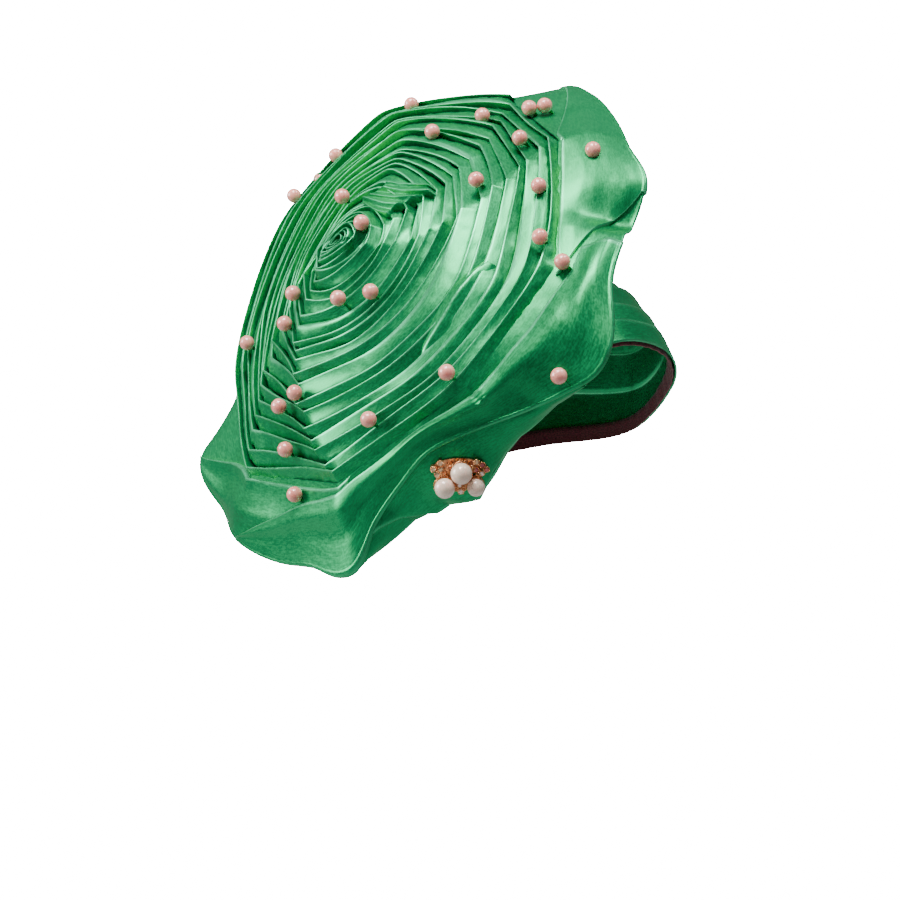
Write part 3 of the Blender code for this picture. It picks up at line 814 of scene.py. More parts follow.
@dataclass(frozen=True)
class PleatPath:
    """Path of the rosette's folded strip: straight sides between sharp corners, turn after turn.

    Each corner row holds a name, an angle, the reach as a share of the turn's radius, the rise as a share
    of the radius, the softness of the corner and the bow of the side after it. Each turn row holds a
    name, the radius and the rise as shares, and the shift of its front in millimetres.
    """

    radius: float = 0.119
    height: float = 0.072
    edge_height: float = 0.029
    twist: float = 3.0
    front: float = 88.0
    rim_steps: int = 24
    corner_rows: tuple = (
        ("top", 2.0, 1.030, 0.010, 0.0, 0.01),
        ("top front", -28.0, 1.000, 0.03, 0.0, 0.02),
        ("front", -72.0, 0.985, -0.02, 1.0, 0.02),
        ("low front", -108.0, 1.000, 0.02, 0.8, 0.00),
        ("bottom front", -150.0, 1.015, 0.00, 0.0, -0.01),
        ("bottom back", -196.0, 1.000, -0.09, 0.0, 0.03),
        ("back", -236.0, 1.010, -0.05, 0.4, 0.07),
        ("upper back", -280.0, 1.005, 0.115, 0.4, 0.06),
        ("far top", -320.0, 1.000, 0.175, 0.1, 0.05),
    )
    turn_rows: tuple = (
        ("bud heart", 0.018, -0.012, 0.0),
        ("bud 1", 0.034, -0.004, 0.0),
        ("bud 2", 0.052, 0.004, 0.0),
        ("bud 3", 0.072, 0.012, 0.0),
        ("bud 4", 0.094, 0.010, 0.0),
        ("bud 5", 0.116, 0.014, 0.0),
        ("bud 6", 0.140, 0.004, 0.0),
        ("bud 7", 0.166, 0.010, 0.0),
        ("inner 1", 0.206, -0.020, 0.6),
        ("inner 2", 0.252, 0.000, -0.6),
        ("inner 3", 0.300, 0.015, -1.2),
        ("inner 4", 0.348, -0.010, 0.4),
        ("inner 5", 0.402, 0.010, -2.2),
        ("middle 1", 0.448, 0.000, -3.2),
        ("middle 2", 0.492, 0.012, -4.2),
        ("middle 3", 0.538, 0.000, -5.4),
        ("middle 4", 0.584, 0.016, -6.0),
        ("middle 5", 0.632, -0.006, 0.8),
        ("middle 6", 0.684, 0.014, 1.4),
        ("outer 1", 0.742, 0.000, -1.8),
        ("outer 2", 0.794, 0.012, 1.6),
        ("outer 3", 0.844, -0.010, -0.6),
        ("outer 4", 0.896, 0.008, 0.8),
        ("outer 5", 0.948, 0.000, -0.4),
        ("outer 6", 1.000, 0.000, 0.0),
    )
    bud_turns: float = 9.0
    bud_axis: float = -20.0
    bud_stretch: float = 0.30

    @property
    def sides(self) -> int:
        """Number of straight sides in a turn."""
        return len(self.corner_rows)

    @property
    def last_corner(self) -> int:
        """Number of the strip's last corner."""
        return (len(self.turn_rows) - 1) * self.sides

    def corners(self, first: int, last: int) -> Array:
        """Return corners by number.

        Args:
            first: First corner.
            last: Last corner.

        Returns:
            Rows of unrolled angle, radius and height.
        """
        index = np.arange(first, last + 1)
        rows = np.array([row[1:4] for row in self.corner_rows])[index % self.sides]
        turns = np.arange(len(self.turn_rows))
        turn = np.minimum(index // self.sides + (self.corner_rows[0][1] - rows[:, 0]) / 360.0, turns[-1])
        radius = np.interp(turn, turns, [row[1] for row in self.turn_rows]) * self.radius
        proud = np.interp(turn, turns, [row[2] for row in self.turn_rows]) * self.height
        dome = self.height - (self.height - self.edge_height) * radius / self.radius
        angle = rows[:, 0] - 360.0 * (index // self.sides) + self.twist * (turn - turns[-1])
        front = np.maximum(np.cos(np.radians(angle + self.front)), 0.0) ** 2
        shift = np.interp(turn, turns, [row[3] for row in self.turn_rows]) * MILLIMETRE * front
        long = np.cos(2.0 * np.radians(angle - self.bud_axis))
        long = long * np.clip(1.0 - turn / self.bud_turns, 0.0, 1.0)
        reach = (radius * rows[:, 1] + shift) * (1.0 + self.bud_stretch * long)
        return np.stack([angle, reach, dome + proud + rows[:, 2] * radius], 1)

    def outermost(self, angle: Array) -> tuple[Array, Array]:
        """Find the outermost turn's fold.

        Args:
            angle: Angles round the disc.

        Returns:
            The fold's radius and height at each angle.
        """
        rows = self.corners(self.last_corner - self.sides, self.last_corner)
        share = np.linspace(0.0, 1.0, self.rim_steps, endpoint=False)[None, :]
        turn = np.radians(rows[:, 0])
        flat = np.stack([rows[:, 1] * np.cos(turn), rows[:, 1] * np.sin(turn), rows[:, 2]], 1)
        line = (flat[:-1, None] + (flat[1:] - flat[:-1])[:, None] * share[..., None]).reshape(-1, 3)
        around = np.degrees(np.arctan2(line[:, 1], line[:, 0])) % 360.0
        order = np.argsort(around)
        reach = np.hypot(line[:, 0], line[:, 1])[order]
        angle = np.asarray(angle, float) % 360.0
        return (np.interp(angle, around[order], reach, period=360.0),
                np.interp(angle, around[order], line[order, 2], period=360.0))


@dataclass
class Rosette:
    """Pleated rosette: one folded strip wound from the bud out, with its folded edge up.

    A jitter is the spread of a random shift and its limit, and sag is a range, all in millimetres.
    """

    disc: Disc
    path: PleatPath
    finish: SatinFinish
    brim_wall: float = 0.0018
    fold_radius: float = 0.00034
    body_half: float = 0.00062
    body_fade: float = 0.003
    rest_gap: float = 0.00040
    least_gap: float = 0.0012
    overlap: float = 0.0026
    brim_gap: float = 0.0042
    brim_drop: float = 0.0052
    lean_depth: float = 0.010
    lean: float = 0.0011
    step: float = 0.0026
    corner_step: float = 0.0005
    corner_share: float = 0.06
    soft_limit: float = 0.05
    softening: float = 0.45
    reach_jitter: tuple = (0.85, 1.5)
    height_jitter: tuple = (1.00, 1.8)
    rim_jitter: float = 0.3
    front_play: float = 0.45
    bow_play: float = 0.012
    sag: tuple = (-1.0, 0.4)
    miter_limits: tuple = (0.4, 1.6)
    depth_play: float = 0.25
    curve: tuple = (1.15, 0.55)
    closing: tuple = (0.75, 1.3, 2.6)
    inner_share: float = 0.22
    crumple: float = 0.00050
    crumple_waves: tuple = (0.030, 0.006)
    crumple_draw: float = 0.7
    smooth_edge: tuple = (0.0003, 0.004)
    # Width of the painted highlight along the folded top edge.
    fold_mark: float = 0.0004
    heart: float = 0.012
    rounding: int = 70
    seed: int = 11
    pieces: tuple = (
        ("rosette_bud", 0, 8),
        ("rosette_inner_pleats", 8, 13),
        ("rosette_middle_pleats", 13, 19),
        ("rosette_outer_pleats", 19, 24),
    )
    depths: tuple = (0.0, 0.06, 0.16, 0.32, 0.6, 1.1, 1.8, 2.6, 3.5, 4.6, 5.8, 7.2, 9.0, 12.0, 17.0, 90.0)

    def loose_corners(self, draw: np.random.Generator) -> Array:
        """Shift the strip's corners a little, most at the front and least at the bud and the rim.

        Args:
            draw: Source of the random shifts.

        Returns:
            Each corner's place in the disc's plane and its height.
        """
        corners = self.path.corners(0, self.path.last_corner)
        turn = np.radians(corners[:, 0])
        free = np.clip(np.arange(len(corners)) / self.path.sides - 2.0, 0.0, 1.0)
        free[-self.path.sides:] = self.rim_jitter
        lively = 1.0 + self.front_play * np.cos(turn + math.radians(self.path.front)) ** 2
        jitters = ((1, self.reach_jitter, lively), (2, self.height_jitter, 1.0))
        for column, (spread, limit), share in jitters:
            shift = np.clip(draw.normal(0.0, spread, len(corners)), -limit, limit)
            corners[:, column] += shift * MILLIMETRE * free * share
        return np.stack([corners[:, 1] * np.cos(turn), corners[:, 1] * np.sin(turn), corners[:, 2]], 1)

    def walk(self, flat: Array, draw: np.random.Generator) -> Array:
        """Walk along the strip's sides, in close steps at its sharp corners.

        Args:
            flat: The corners.
            draw: Source of the sides' bows and sags.

        Returns:
            Rows of place, height, corner number and softness.
        """
        softness, bows = (np.array([row[column] for row in self.path.corner_rows]) for column in (4, 5))
        rows = []
        for number in range(len(flat) - 1):
            side = flat[number + 1] - flat[number]
            length = float(np.hypot(side[0], side[1]))
            way = np.array([-side[1], side[0]]) / length
            way *= np.sign(way @ (flat[number, :2] + flat[number + 1, :2]))
            soft, soft_next = softness[number % self.path.sides], softness[(number + 1) % self.path.sides]
            near = min(self.corner_step, length * self.corner_share)
            inner = np.linspace(near * 3.0, length - near * 3.0, max(3, int(length / self.step)))
            spots = np.concatenate([[0.0] if soft > self.soft_limit else [0.0, near], inner,
                                    [] if soft_next > self.soft_limit else [length - near]])
            share = spots / length
            hump = 4.0 * share * (1.0 - share)
            bow = (bows[number % self.path.sides] + draw.uniform(-self.bow_play, self.bow_play)) * length
            sag = draw.uniform(*self.sag) * MILLIMETRE
            place = flat[number][None, :] + side[None, :] * share[:, None]
            place[:, :2] += way[None, :] * (bow * hump)[:, None]
            place[:, 2] += sag * hump
            bend = soft + (soft_next - soft) * share
            rows.append(np.concatenate([place, np.full((len(share), 1), number), bend[:, None]], 1))
        rows.append(np.concatenate([flat[-1], [len(flat) - 1, 0.0]])[None, :])
        return np.concatenate(rows)

    def stations(self) -> dict[str, Array]:
        """Lay stations along the whole strip, bent at its soft corners.

        Returns:
            Arrays by name: place in the disc's plane, height, outward way, miter, length along the
            strip, corner number, lean of the fold, gap to the next turn and drop to its fold.
        """
        draw = np.random.default_rng(self.seed)
        table = self.walk(self.loose_corners(draw), draw)
        place = table[:, :3]
        bend = self.softening * table[1:-1, 4:5]
        for _ in range(self.rounding):
            place[1:-1] += bend * (0.5 * (place[:-2] + place[2:]) - place[1:-1])
        ahead = np.diff(place[:, :2], axis=0)
        lengths = np.linalg.norm(ahead, axis=1)
        ways = np.stack([-ahead[:, 1], ahead[:, 0]], 1) / lengths[:, None]
        ways *= np.sign((ways * (place[:-1, :2] + place[1:, :2])).sum(1))[:, None]
        before, after = np.concatenate([ways[:1], ways]), np.concatenate([ways, ways[-1:]])
        way = unit(before + after)
        least, most = self.miter_limits
        miter = np.minimum(1.0 / np.maximum((way * after).sum(1), least), most)
        run = np.concatenate([[0.0], lengths.cumsum()])
        around = -np.degrees(np.unwrap(np.arctan2(place[:, 1], place[:, 0])))
        radius = np.hypot(place[:, 0], place[:, 1])
        rim, rim_height = self.path.outermost(-around)
        last = around > around[-1] - 360.0
        beyond = np.where(last, rim + self.brim_gap, np.interp(around + 360.0, around, radius))
        below = np.where(last, rim_height - self.brim_drop, np.interp(around + 360.0, around, place[:, 2]))
        straight = np.abs((way * place[:, :2]).sum(1)) / np.maximum(radius, 1e-6)
        lean = Ripples(self.seed + 5, 0.150, 0.035).read(run, 0.0) * self.lean
        return {"x": place[:, 0], "y": place[:, 1], "height": place[:, 2], "out_x": way[:, 0],
                "out_y": way[:, 1], "miter": miter, "run": run, "corner": table[:, 3], "lean": lean,
                "gap": np.maximum((beyond - radius) * straight, self.least_gap),
                "drop": np.maximum(place[:, 2] - below, 0.0)}

    def profile(self, line: dict[str, Array]) -> tuple[Array, Array]:
        """Shape the strip's section, from its outer foot over the fold to its inner foot.

        Args:
            line: The stations of one length.

        Returns:
            The depth of each row and the bulge of each row at each station, outward.
        """
        depth = np.array(self.depths) * MILLIMETRE
        bulge = np.where(depth < self.fold_radius,
                         np.sqrt(np.maximum(2 * self.fold_radius * depth - depth ** 2, 0.0)),
                         self.fold_radius + (self.body_half - self.fold_radius)
                         * (1.0 - np.exp(-(depth - self.fold_radius) / self.body_fade)))
        slack = np.maximum(line["gap"] - self.body_half - self.rest_gap - self.fold_radius, 0.0)[None, :]
        vary = Ripples(self.seed + 3, 0.120, 0.040).read(line["run"], 0.0)[None, :]
        mean, play = self.curve
        curve = mean + play * Ripples(self.seed + 4, 0.200, 0.060).read(line["run"], 0.0)[None, :]
        down = depth[:, None] / ((line["drop"] + self.overlap)[None, :] * (1.0 + self.depth_play * vary))
        spread = np.clip(down, 0.0, 1.0) ** np.maximum(curve, play)
        share, start, end = self.closing
        spread = spread * (1.0 - share * smooth_step(down, start, end))
        outer = np.minimum(bulge, self.fold_radius)[:, None] + slack * spread
        room = np.maximum(line["gap"][None, :] * self.inner_share, self.fold_radius)
        inner = np.minimum(bulge[1:, None], room)
        return np.concatenate([depth[::-1], depth[1:]]), np.concatenate([outer[::-1], -inner])

    def sheet(self, name: str, first: int, last: int, line: dict[str, Array]) -> ClothGrid:
        """Shape one length of the strip.

        Args:
            name: Name of the piece.
            first: First turn.
            last: Last turn.
            line: The stations of the whole strip.

        Returns:
            The grid of the piece.
        """
        sides = self.path.sides
        chosen = (line["corner"] >= first * sides) & (line["corner"] <= last * sides)
        chosen[np.flatnonzero(line["corner"] == last * sides)[1:]] = False
        line = {key: values[chosen] for key, values in line.items()}
        depth, bulge = self.profile(line)
        floor = self.brim_wall - self.disc.brim_drop + CLEARANCE
        height = np.maximum(line["height"][None, :] - depth[:, None], floor)
        field_out, field_in = (
            Ripples(self.seed + more, *self.crumple_waves).read(line["run"][None, :],
                                                                depth[:, None] * self.crumple_draw)
            for more in (1, 2))
        swell = np.where(bulge > 0, field_out, field_in) * self.crumple
        swell *= smooth_step(depth, *self.smooth_edge)[:, None]
        tilt = 1.0 - smooth_step(depth, 0.0, self.lean_depth)
        shift = line["lean"][None, :] * tilt[:, None]
        room = np.minimum(1.0, np.hypot(line["x"], line["y"]) / self.heart)[None, :]
        reach = (bulge + swell) * line["miter"][None, :] * np.maximum(room, 0.5) + shift * room
        points = self.disc.flat(line["x"][None, :] + line["out_x"][None, :] * reach,
                                line["y"][None, :] + line["out_y"][None, :] * reach, height)
        # Painted highlight along the strip's folded top edge.
        fold = np.exp(-(depth / self.fold_mark) ** 2)[:, None] * np.ones_like(line["run"])[None, :]
        down = np.linalg.norm(np.diff(points, axis=0, prepend=points[:1]), axis=-1).cumsum(0)
        cloth = np.stack(np.broadcast_arrays(line["run"][None, :], down), -1)
        return ClothGrid(name, points, cloth, fold)

    def build(self, effects: SharedEffects) -> None:
        """Build the four lengths of the strip.

        Args:
            effects: The shared node groups.
        """
        material = self.finish.build(effects)
        line = self.stations()
        for name, first, last in self.pieces:
            grid = self.sheet(name, first, last, line)
            thing = register(grid.build(material), Slot.PLEATED_SATIN, name)
            thing.name = name.replace("rosette", "satin_rosette")
            report(thing)


@dataclass
class TuckedFold:
    """Loose fold that rises out of the front pleats, runs along them and tucks back in at a notch.

    Each row holds a name, the place up and sideways in the disc's plane, the pleats' height there and
    the fold's lift over them, all in millimetres. Each step of the section holds the distance out from
    the fold, the height as a share of the lift and the height of the pleats under it.
    """

    disc: Disc
    finish: SatinFinish
    rows: tuple = (
        ("rise", 20.5, -81.4, 39.6, -0.6),
        ("hollow top", 16.6, -81.3, 39.5, 0.9),
        ("hollow", 11.0, -81.6, 39.3, 2.6),
        ("upper run", 0.5, -81.6, 39.4, 3.7),
        ("run", -8.7, -81.6, 39.2, 3.8),
        ("lower run", -19.5, -81.6, 39.0, 3.2),
        ("notch", -31.5, -79.0, 38.4, 1.6),
        ("tuck", -36.0, -77.4, 38.2, -0.6),
    )
    section: tuple = (
        (-11.0, 0.90, -1.4),
        (-8.5, 0.97, -0.6),
        (-6.5, 1.00, -0.1),
        (-3.0, 1.02, 0.0),
        (-0.6, 1.00, 0.0),
        (0.0, 0.93, 0.0),
        (0.8, 0.70, 0.0),
        (2.2, 0.30, -0.5),
        (4.0, 0.00, -1.7),
        (5.6, 0.00, -4.2),
    )
    full_lift: float = 3.6
    width_limits: tuple = (0.25, 1.1)
    slant: float = 0.10
    waves: tuple = (41, 0.030, 0.010)
    crumple: float = 0.00012
    steps: int = 90
    across: int = 56

    def build(self, effects: SharedEffects) -> None:
        """Build the fold's cloth.

        Args:
            effects: The shared node groups.
        """
        knots = np.arange(len(self.rows), dtype=float)
        where = np.linspace(0.0, knots[-1], self.steps)
        x, y, base, lift = (smooth_read(where, knots, [row[column] for row in self.rows])
                            for column in range(1, 5))
        along = np.stack([np.gradient(x), np.gradient(y)], 1)
        out = np.stack([along[:, 1], -along[:, 0]], 1) / np.linalg.norm(along, axis=1)[:, None]
        out *= np.sign(out @ np.array([0.0, -1.0]))[:, None]
        spots = np.array([row[0] for row in self.section])
        places = np.linspace(spots[0], spots[-1], self.across)
        share, drop = (smooth_read(places, spots, [row[column] for row in self.section])
                       for column in (1, 2))
        width = np.clip(lift / self.full_lift, *self.width_limits)[None, :]
        reach = places[:, None] * np.where(places[:, None] < 0, width, 1.0)
        ledge = np.where(reach < 0, 0.0, -self.slant * reach)
        height = base[None, :] + share[:, None] * lift[None, :] + drop[:, None] + ledge
        points = self.disc.flat((x[None, :] + out[None, :, 0] * reach) * MILLIMETRE,
                                (y[None, :] + out[None, :, 1] * reach) * MILLIMETRE, height * MILLIMETRE)
        lengths = cloth_lengths(points)
        ripples = Ripples(*self.waves).over(lengths)
        points = points + self.disc.facing * (ripples * self.crumple)[..., None]
        # Painted highlight along the fold's ridge.
        fold = np.exp(-((places + 0.2) / 0.5) ** 2)[:, None] * np.ones((1, self.steps))
        grid = ClothGrid("satin_tucked_fold", points, lengths, fold)
        thing = register(grid.build(self.finish.build(effects)), Slot.SATIN)
        report(thing)


@dataclass(frozen=True)
class BudCreases:
    """Fan of creased facets where the strip doubles over the top of the bud's front pleats.

    Each row is one ridge or one valley: a name and three places along it from the fan's pivot to its
    sharp corner, each up, sideways and high in the disc's plane, in millimetres.
    """

    disc: Disc
    finish: SatinFinish
    rows: tuple = (
        ("top edge", (43.2, 4.9, 61.7), (46.8, -7.9, 57.2), (49.9, -23.2, 53.5)),
        ("upper ridge", (39.9, -0.7, 64.6), (42.8, -13.2, 60.1), (46.7, -28.1, 55.9)),
        ("upper valley", (38.5, 0.4, 63.3), (41.3, -12.5, 59.1), (46.4, -27.2, 54.0)),
        ("second ridge", (36.7, -2.5, 65.4), (38.6, -15.0, 60.6), (43.7, -32.2, 56.4)),
        ("second valley", (34.1, 6.3, 62.4), (36.6, -12.6, 59.4), (41.5, -27.9, 53.9)),
        ("third ridge", (31.3, 8.0, 64.4), (33.3, -15.1, 62.2), (38.4, -25.8, 57.9)),
        ("third valley", (30.6, 10.7, 63.1), (31.6, -12.4, 61.0), (34.0, -23.1, 57.8)),
        ("fourth ridge", (29.2, 10.8, 65.2), (28.7, -11.9, 63.2), (30.6, -22.0, 61.6)),
        ("fourth valley", (28.5, 11.8, 63.0), (26.3, -7.1, 61.4), (26.9, -17.7, 59.9)),
        ("low ridge", (27.2, 8.0, 64.2), (24.0, -7.5, 63.1), (23.8, -19.3, 62.1)),
        ("low edge", (26.5, 9.6, 60.7), (22.5, -3.2, 59.9), (21.1, -13.6, 58.4)),
    )
    lift: float = 2.5
    tuck: float = 4.9
    tuck_ends: tuple = (0.18, 0.10)
    ridge_width: float = 0.12
    waves: tuple = (43, 0.012, 0.006)
    crumple: float = 0.00010
    steps: int = 70
    across: int = 100

    def build(self, effects: SharedEffects) -> None:
        """Build the fan's cloth.

        Args:
            effects: The shared node groups.
        """
        table = np.array([row[1:] for row in self.rows])
        knots = np.arange(len(self.rows), dtype=float)
        rows = np.linspace(0.0, knots[-1], self.across)
        along = np.linspace(0.0, 2.0, self.steps)
        bent = np.stack([np.stack([smooth_read(along, np.arange(3.0), line[:, axis])
                                   for axis in range(3)], 1) for line in table])
        flat = sum(share * np.stack([np.stack([np.interp(rows + shift, knots, bent[:, step, axis])
                                               for axis in range(3)], 1) for step in range(self.steps)], 1)
                   for shift, share in ((-self.ridge_width, 0.25), (0.0, 0.50), (self.ridge_width, 0.25)))
        start, end = self.tuck_ends
        ends = smooth_step(along, 2.0 - end, 2.0) + 1.0 - smooth_step(along, 0.0, start)
        middle = smooth_step(rows, 0.0, 1.0) * (1.0 - smooth_step(rows, knots[-1] - 1.0, knots[-1]))
        flat[..., 2] += self.lift * middle[:, None] - self.tuck * ends[None, :]
        points = self.disc.flat(*(flat[..., axis] * MILLIMETRE for axis in range(3)))
        lengths = cloth_lengths(points)
        ripples = Ripples(*self.waves).over(lengths)
        points = points + self.disc.facing * (ripples * self.crumple)[..., None]
        # Painted highlight along each ridge of the fan.
        fold = np.exp(-((rows % 2.0 - 1.0) / self.ridge_width) ** 2)[:, None] * np.ones((1, self.steps))
        grid = ClothGrid("satin_bud_creases", points, lengths, fold)
        thing = register(grid.build(self.finish.build(effects)), Slot.SATIN)
        report(thing)


@dataclass(frozen=True)
class BrimForm:
    """Section of the brim's cloth at any angle: from the last pleat out, round the fold and back in.

    Each edge row holds a name, an angle, the fold's radius as a share and its height in flutes.
    """

    disc: Disc
    path: PleatPath
    radius: float = 0.157
    wall: float = 0.0018
    fold: float = 0.0018
    flute: float = 0.014
    tuck: float = 0.0055
    strip_wall: float = 0.0014
    fold_span: float = 0.10
    under_fall: tuple = (0.88, 0.55)
    middle_share: float = 0.97
    # Strength and width of the painted highlight along the outer fold.
    rim_highlight: float = 0.5
    rim_highlight_width: float = 0.018
    edge_rows: tuple = (
        ("top", 4.0, 0.970, 0.00),
        ("top front", -6.0, 0.945, 0.10),
        ("upper lobe", -20.0, 0.905, 0.20),
        ("upper lobe low", -34.0, 0.890, 0.40),
        ("upper tip", -45.0, 0.900, 0.00),
        ("tuck", -55.0, 0.835, -0.25),
        ("tuck end", -62.0, 0.870, 0.50),
        ("front lobe", -74.0, 0.895, 0.70),
        ("front tip", -86.0, 0.962, 0.10),
        ("front corner", -92.0, 0.950, -0.15),
        ("brow fold", -98.5, 0.885, 0.00),
        ("brow end", -104.0, 0.825, 0.10),
        ("panel rise", -116.0, 0.790, 0.90),
        ("panel apex", -127.0, 0.780, 1.30),
        ("panel fall", -138.0, 0.800, 0.90),
        ("panel foot", -146.5, 0.865, 0.50),
        ("low corner", -153.0, 0.980, 0.00),
        ("low front", -165.0, 0.945, 0.10),
        ("bottom", -178.0, 0.940, -0.10),
        ("low back", -194.0, 0.957, 0.00),
        ("left dip", -210.0, 0.975, -0.50),
        ("left tip", -226.0, 1.025, 0.10),
        ("left fall", -236.0, 0.880, 0.00),
        ("back low", -250.0, 0.865, 0.50),
        ("back valley", -268.0, 0.900, -0.50),
        ("back lobe", -286.0, 0.930, 0.60),
        ("back upper valley", -304.0, 0.900, -0.50),
        ("back upper lobe", -322.0, 0.920, 0.40),
        ("top back", -340.0, 0.925, -0.20),
    )

    def edge(self, angle: Array) -> tuple[Array, Array]:
        """Return the radius and height of the brim's outer fold at angles."""
        reach = RoundTable(self.edge_rows, 2).read(angle) * self.radius
        return reach, RoundTable(self.edge_rows, 3).read(angle) * self.flute

    def section(self, angle: Array, place: Array) -> tuple[Array, Array]:
        """Return the radius and height of the cloth.

        Args:
            angle: Angle round the disc.
            place: 1 at the last pleat, 0 at the top of the outer fold, minus the fold's span under
                it, -1 at the foot below the rosette and -2 near the disc's middle.

        Returns:
            The radius and the height at each pair.
        """
        angle, place = np.broadcast_arrays(np.asarray(angle, float), np.asarray(place, float))
        reach, level = self.edge(angle)
        pleat, pleat_height = self.path.outermost(angle)
        foot = pleat + self.strip_wall + CLEARANCE + self.wall / 2
        reach = np.maximum(reach, foot + self.fold)
        turn = self.fold / 2
        floor = self.wall / 2 - self.disc.brim_drop
        top = np.clip(place, 0.0, 1.0)
        radius = reach - turn + (foot - reach + turn) * top
        height = level + (pleat_height - self.tuck - level) * top
        round_share = np.clip(-place / self.fold_span, 0.0, 1.0) * math.pi
        rounding = (place < 0) & (place >= -self.fold_span)
        radius = np.where(rounding, reach - turn + turn * np.sin(round_share), radius)
        height = np.where(rounding, level - turn + turn * np.cos(round_share), height)
        under = np.clip((-place - self.fold_span) / (1.0 - self.fold_span), 0.0, 1.0)
        fall = np.interp(under, [0.0, self.under_fall[0], 1.0], [0.0, self.under_fall[1], 1.0])
        below = place < -self.fold_span
        radius = np.where(below, reach - turn + (foot - reach + turn) * under, radius)
        height = np.where(below, level - self.fold + (floor - level + self.fold) * fall, height)
        inner = np.clip(-place - 1.0, 0.0, 1.0)
        radius = np.where(place < -1.0, foot * (1.0 - self.middle_share * inner), radius)
        return radius, np.where(place < -1.0, floor, height)

    def rim_highlight_at(self, place: Array) -> Array:
        """Return the painted highlight along the outer fold at places."""
        return self.rim_highlight * np.exp(-((place + self.fold_span / 2) / self.rim_highlight_width) ** 2)

    def points(self, angle: Array, place: Array) -> Array:
        """Return points on the brim's cloth."""
        radius, height = self.section(angle, place)
        return self.disc.polar(radius, angle, height)


@dataclass(frozen=True)
class Lobe:
    """A fold of satin that lies over the brim: rows from its inner line out to the rim.

    Each row holds a name, the angle and place of the inner line, the angle at the rim, and the
    cloth's lift in millimetres at the inner line, a quarter, a half, three quarters and the rim.
    """

    name: str
    rows: tuple
    wraps: float = 0.45
    wrap_fade: float = 0.55
    wrap_steps: tuple = (8, 17)
    bury: float = 0.0012
    edge_step: float = 0.0006
    edge_share: float = 0.006
    spacing: float = 0.9
    steps: int = 150
    across: int = 46
    waves: tuple = (0.045, 0.010)
    stretch: float = 2.2
    crumple: float = 0.00013
    seed: int = 5

    def build(self, form: BrimForm, material: Material) -> Object:
        """Build the lobe.

        Args:
            form: The brim that it lies on.
            material: Its finish.

        Returns:
            The mesh object.
        """
        knots = np.arange(len(self.rows), dtype=float)
        where = np.linspace(0.0, knots[-1], self.steps)
        edge = self.edge_step * knots[-1]
        where = np.concatenate([[0.0, edge], where[1:-1], [knots[-1] - edge, knots[-1]]])
        table = np.array([row[1:] for row in self.rows], float)
        columns = [smooth_read(where, knots, table[:, c]) for c in range(table.shape[1])]
        inner_angle, inner_place, rim_angle = columns[:3]
        lifts = np.stack(columns[3:], 1) * MILLIMETRE
        share = np.linspace(0.0, 1.0, self.across) ** self.spacing
        share = np.concatenate([[0.0, self.edge_share], share[1:]])
        round_steps, back_steps = self.wrap_steps
        wrap = np.linspace(0.0, 1.0, back_steps + 1)[1:]
        span = form.fold_span
        angle = inner_angle[None, :] + (rim_angle - inner_angle)[None, :] * share[:, None]
        place = inner_place[None, :] * (1.0 - share[:, None])
        rounding = np.linspace(0.0, span, round_steps + 1)[1:]
        under = np.concatenate([rounding, span + (self.wraps - span) * wrap])
        angle = np.concatenate([angle, np.repeat(angle[-1:], len(under), 0)])
        place = np.concatenate([place, -np.repeat(under[:, None], len(where), 1)])
        base = form.points(angle, place)
        normal = grid_normals(base, False)
        if (normal[len(share) // 2, len(where) // 2] @ form.disc.facing) < 0:
            normal = -normal
        spots = np.linspace(0.0, 1.0, lifts.shape[1])
        lift = np.stack([smooth_read(share, spots, row) for row in lifts], 1)
        tail = np.repeat(lift[-1:], len(under), 0)
        tail[round_steps:] *= 1.0 - smooth_step(wrap, self.wrap_fade, 1.0)[:, None]
        lift = np.concatenate([lift, tail])
        lengths = cloth_lengths(base)
        ripples = Ripples(self.seed, *self.waves, stretch=self.stretch).over(lengths)
        lift = lift + ripples * self.crumple
        lift[[0, -1]] = lift[:, [0, -1]] = -self.bury
        # Painted highlight along the outer fold and round the lobe's edges.
        fold = form.rim_highlight_at(place)
        fold[:3] = fold[:, :3] = fold[:, -3:] = 1.0
        points = base + normal * lift[..., None]
        return ClothGrid(self.name, points, cloth_lengths(points), fold).build(material)


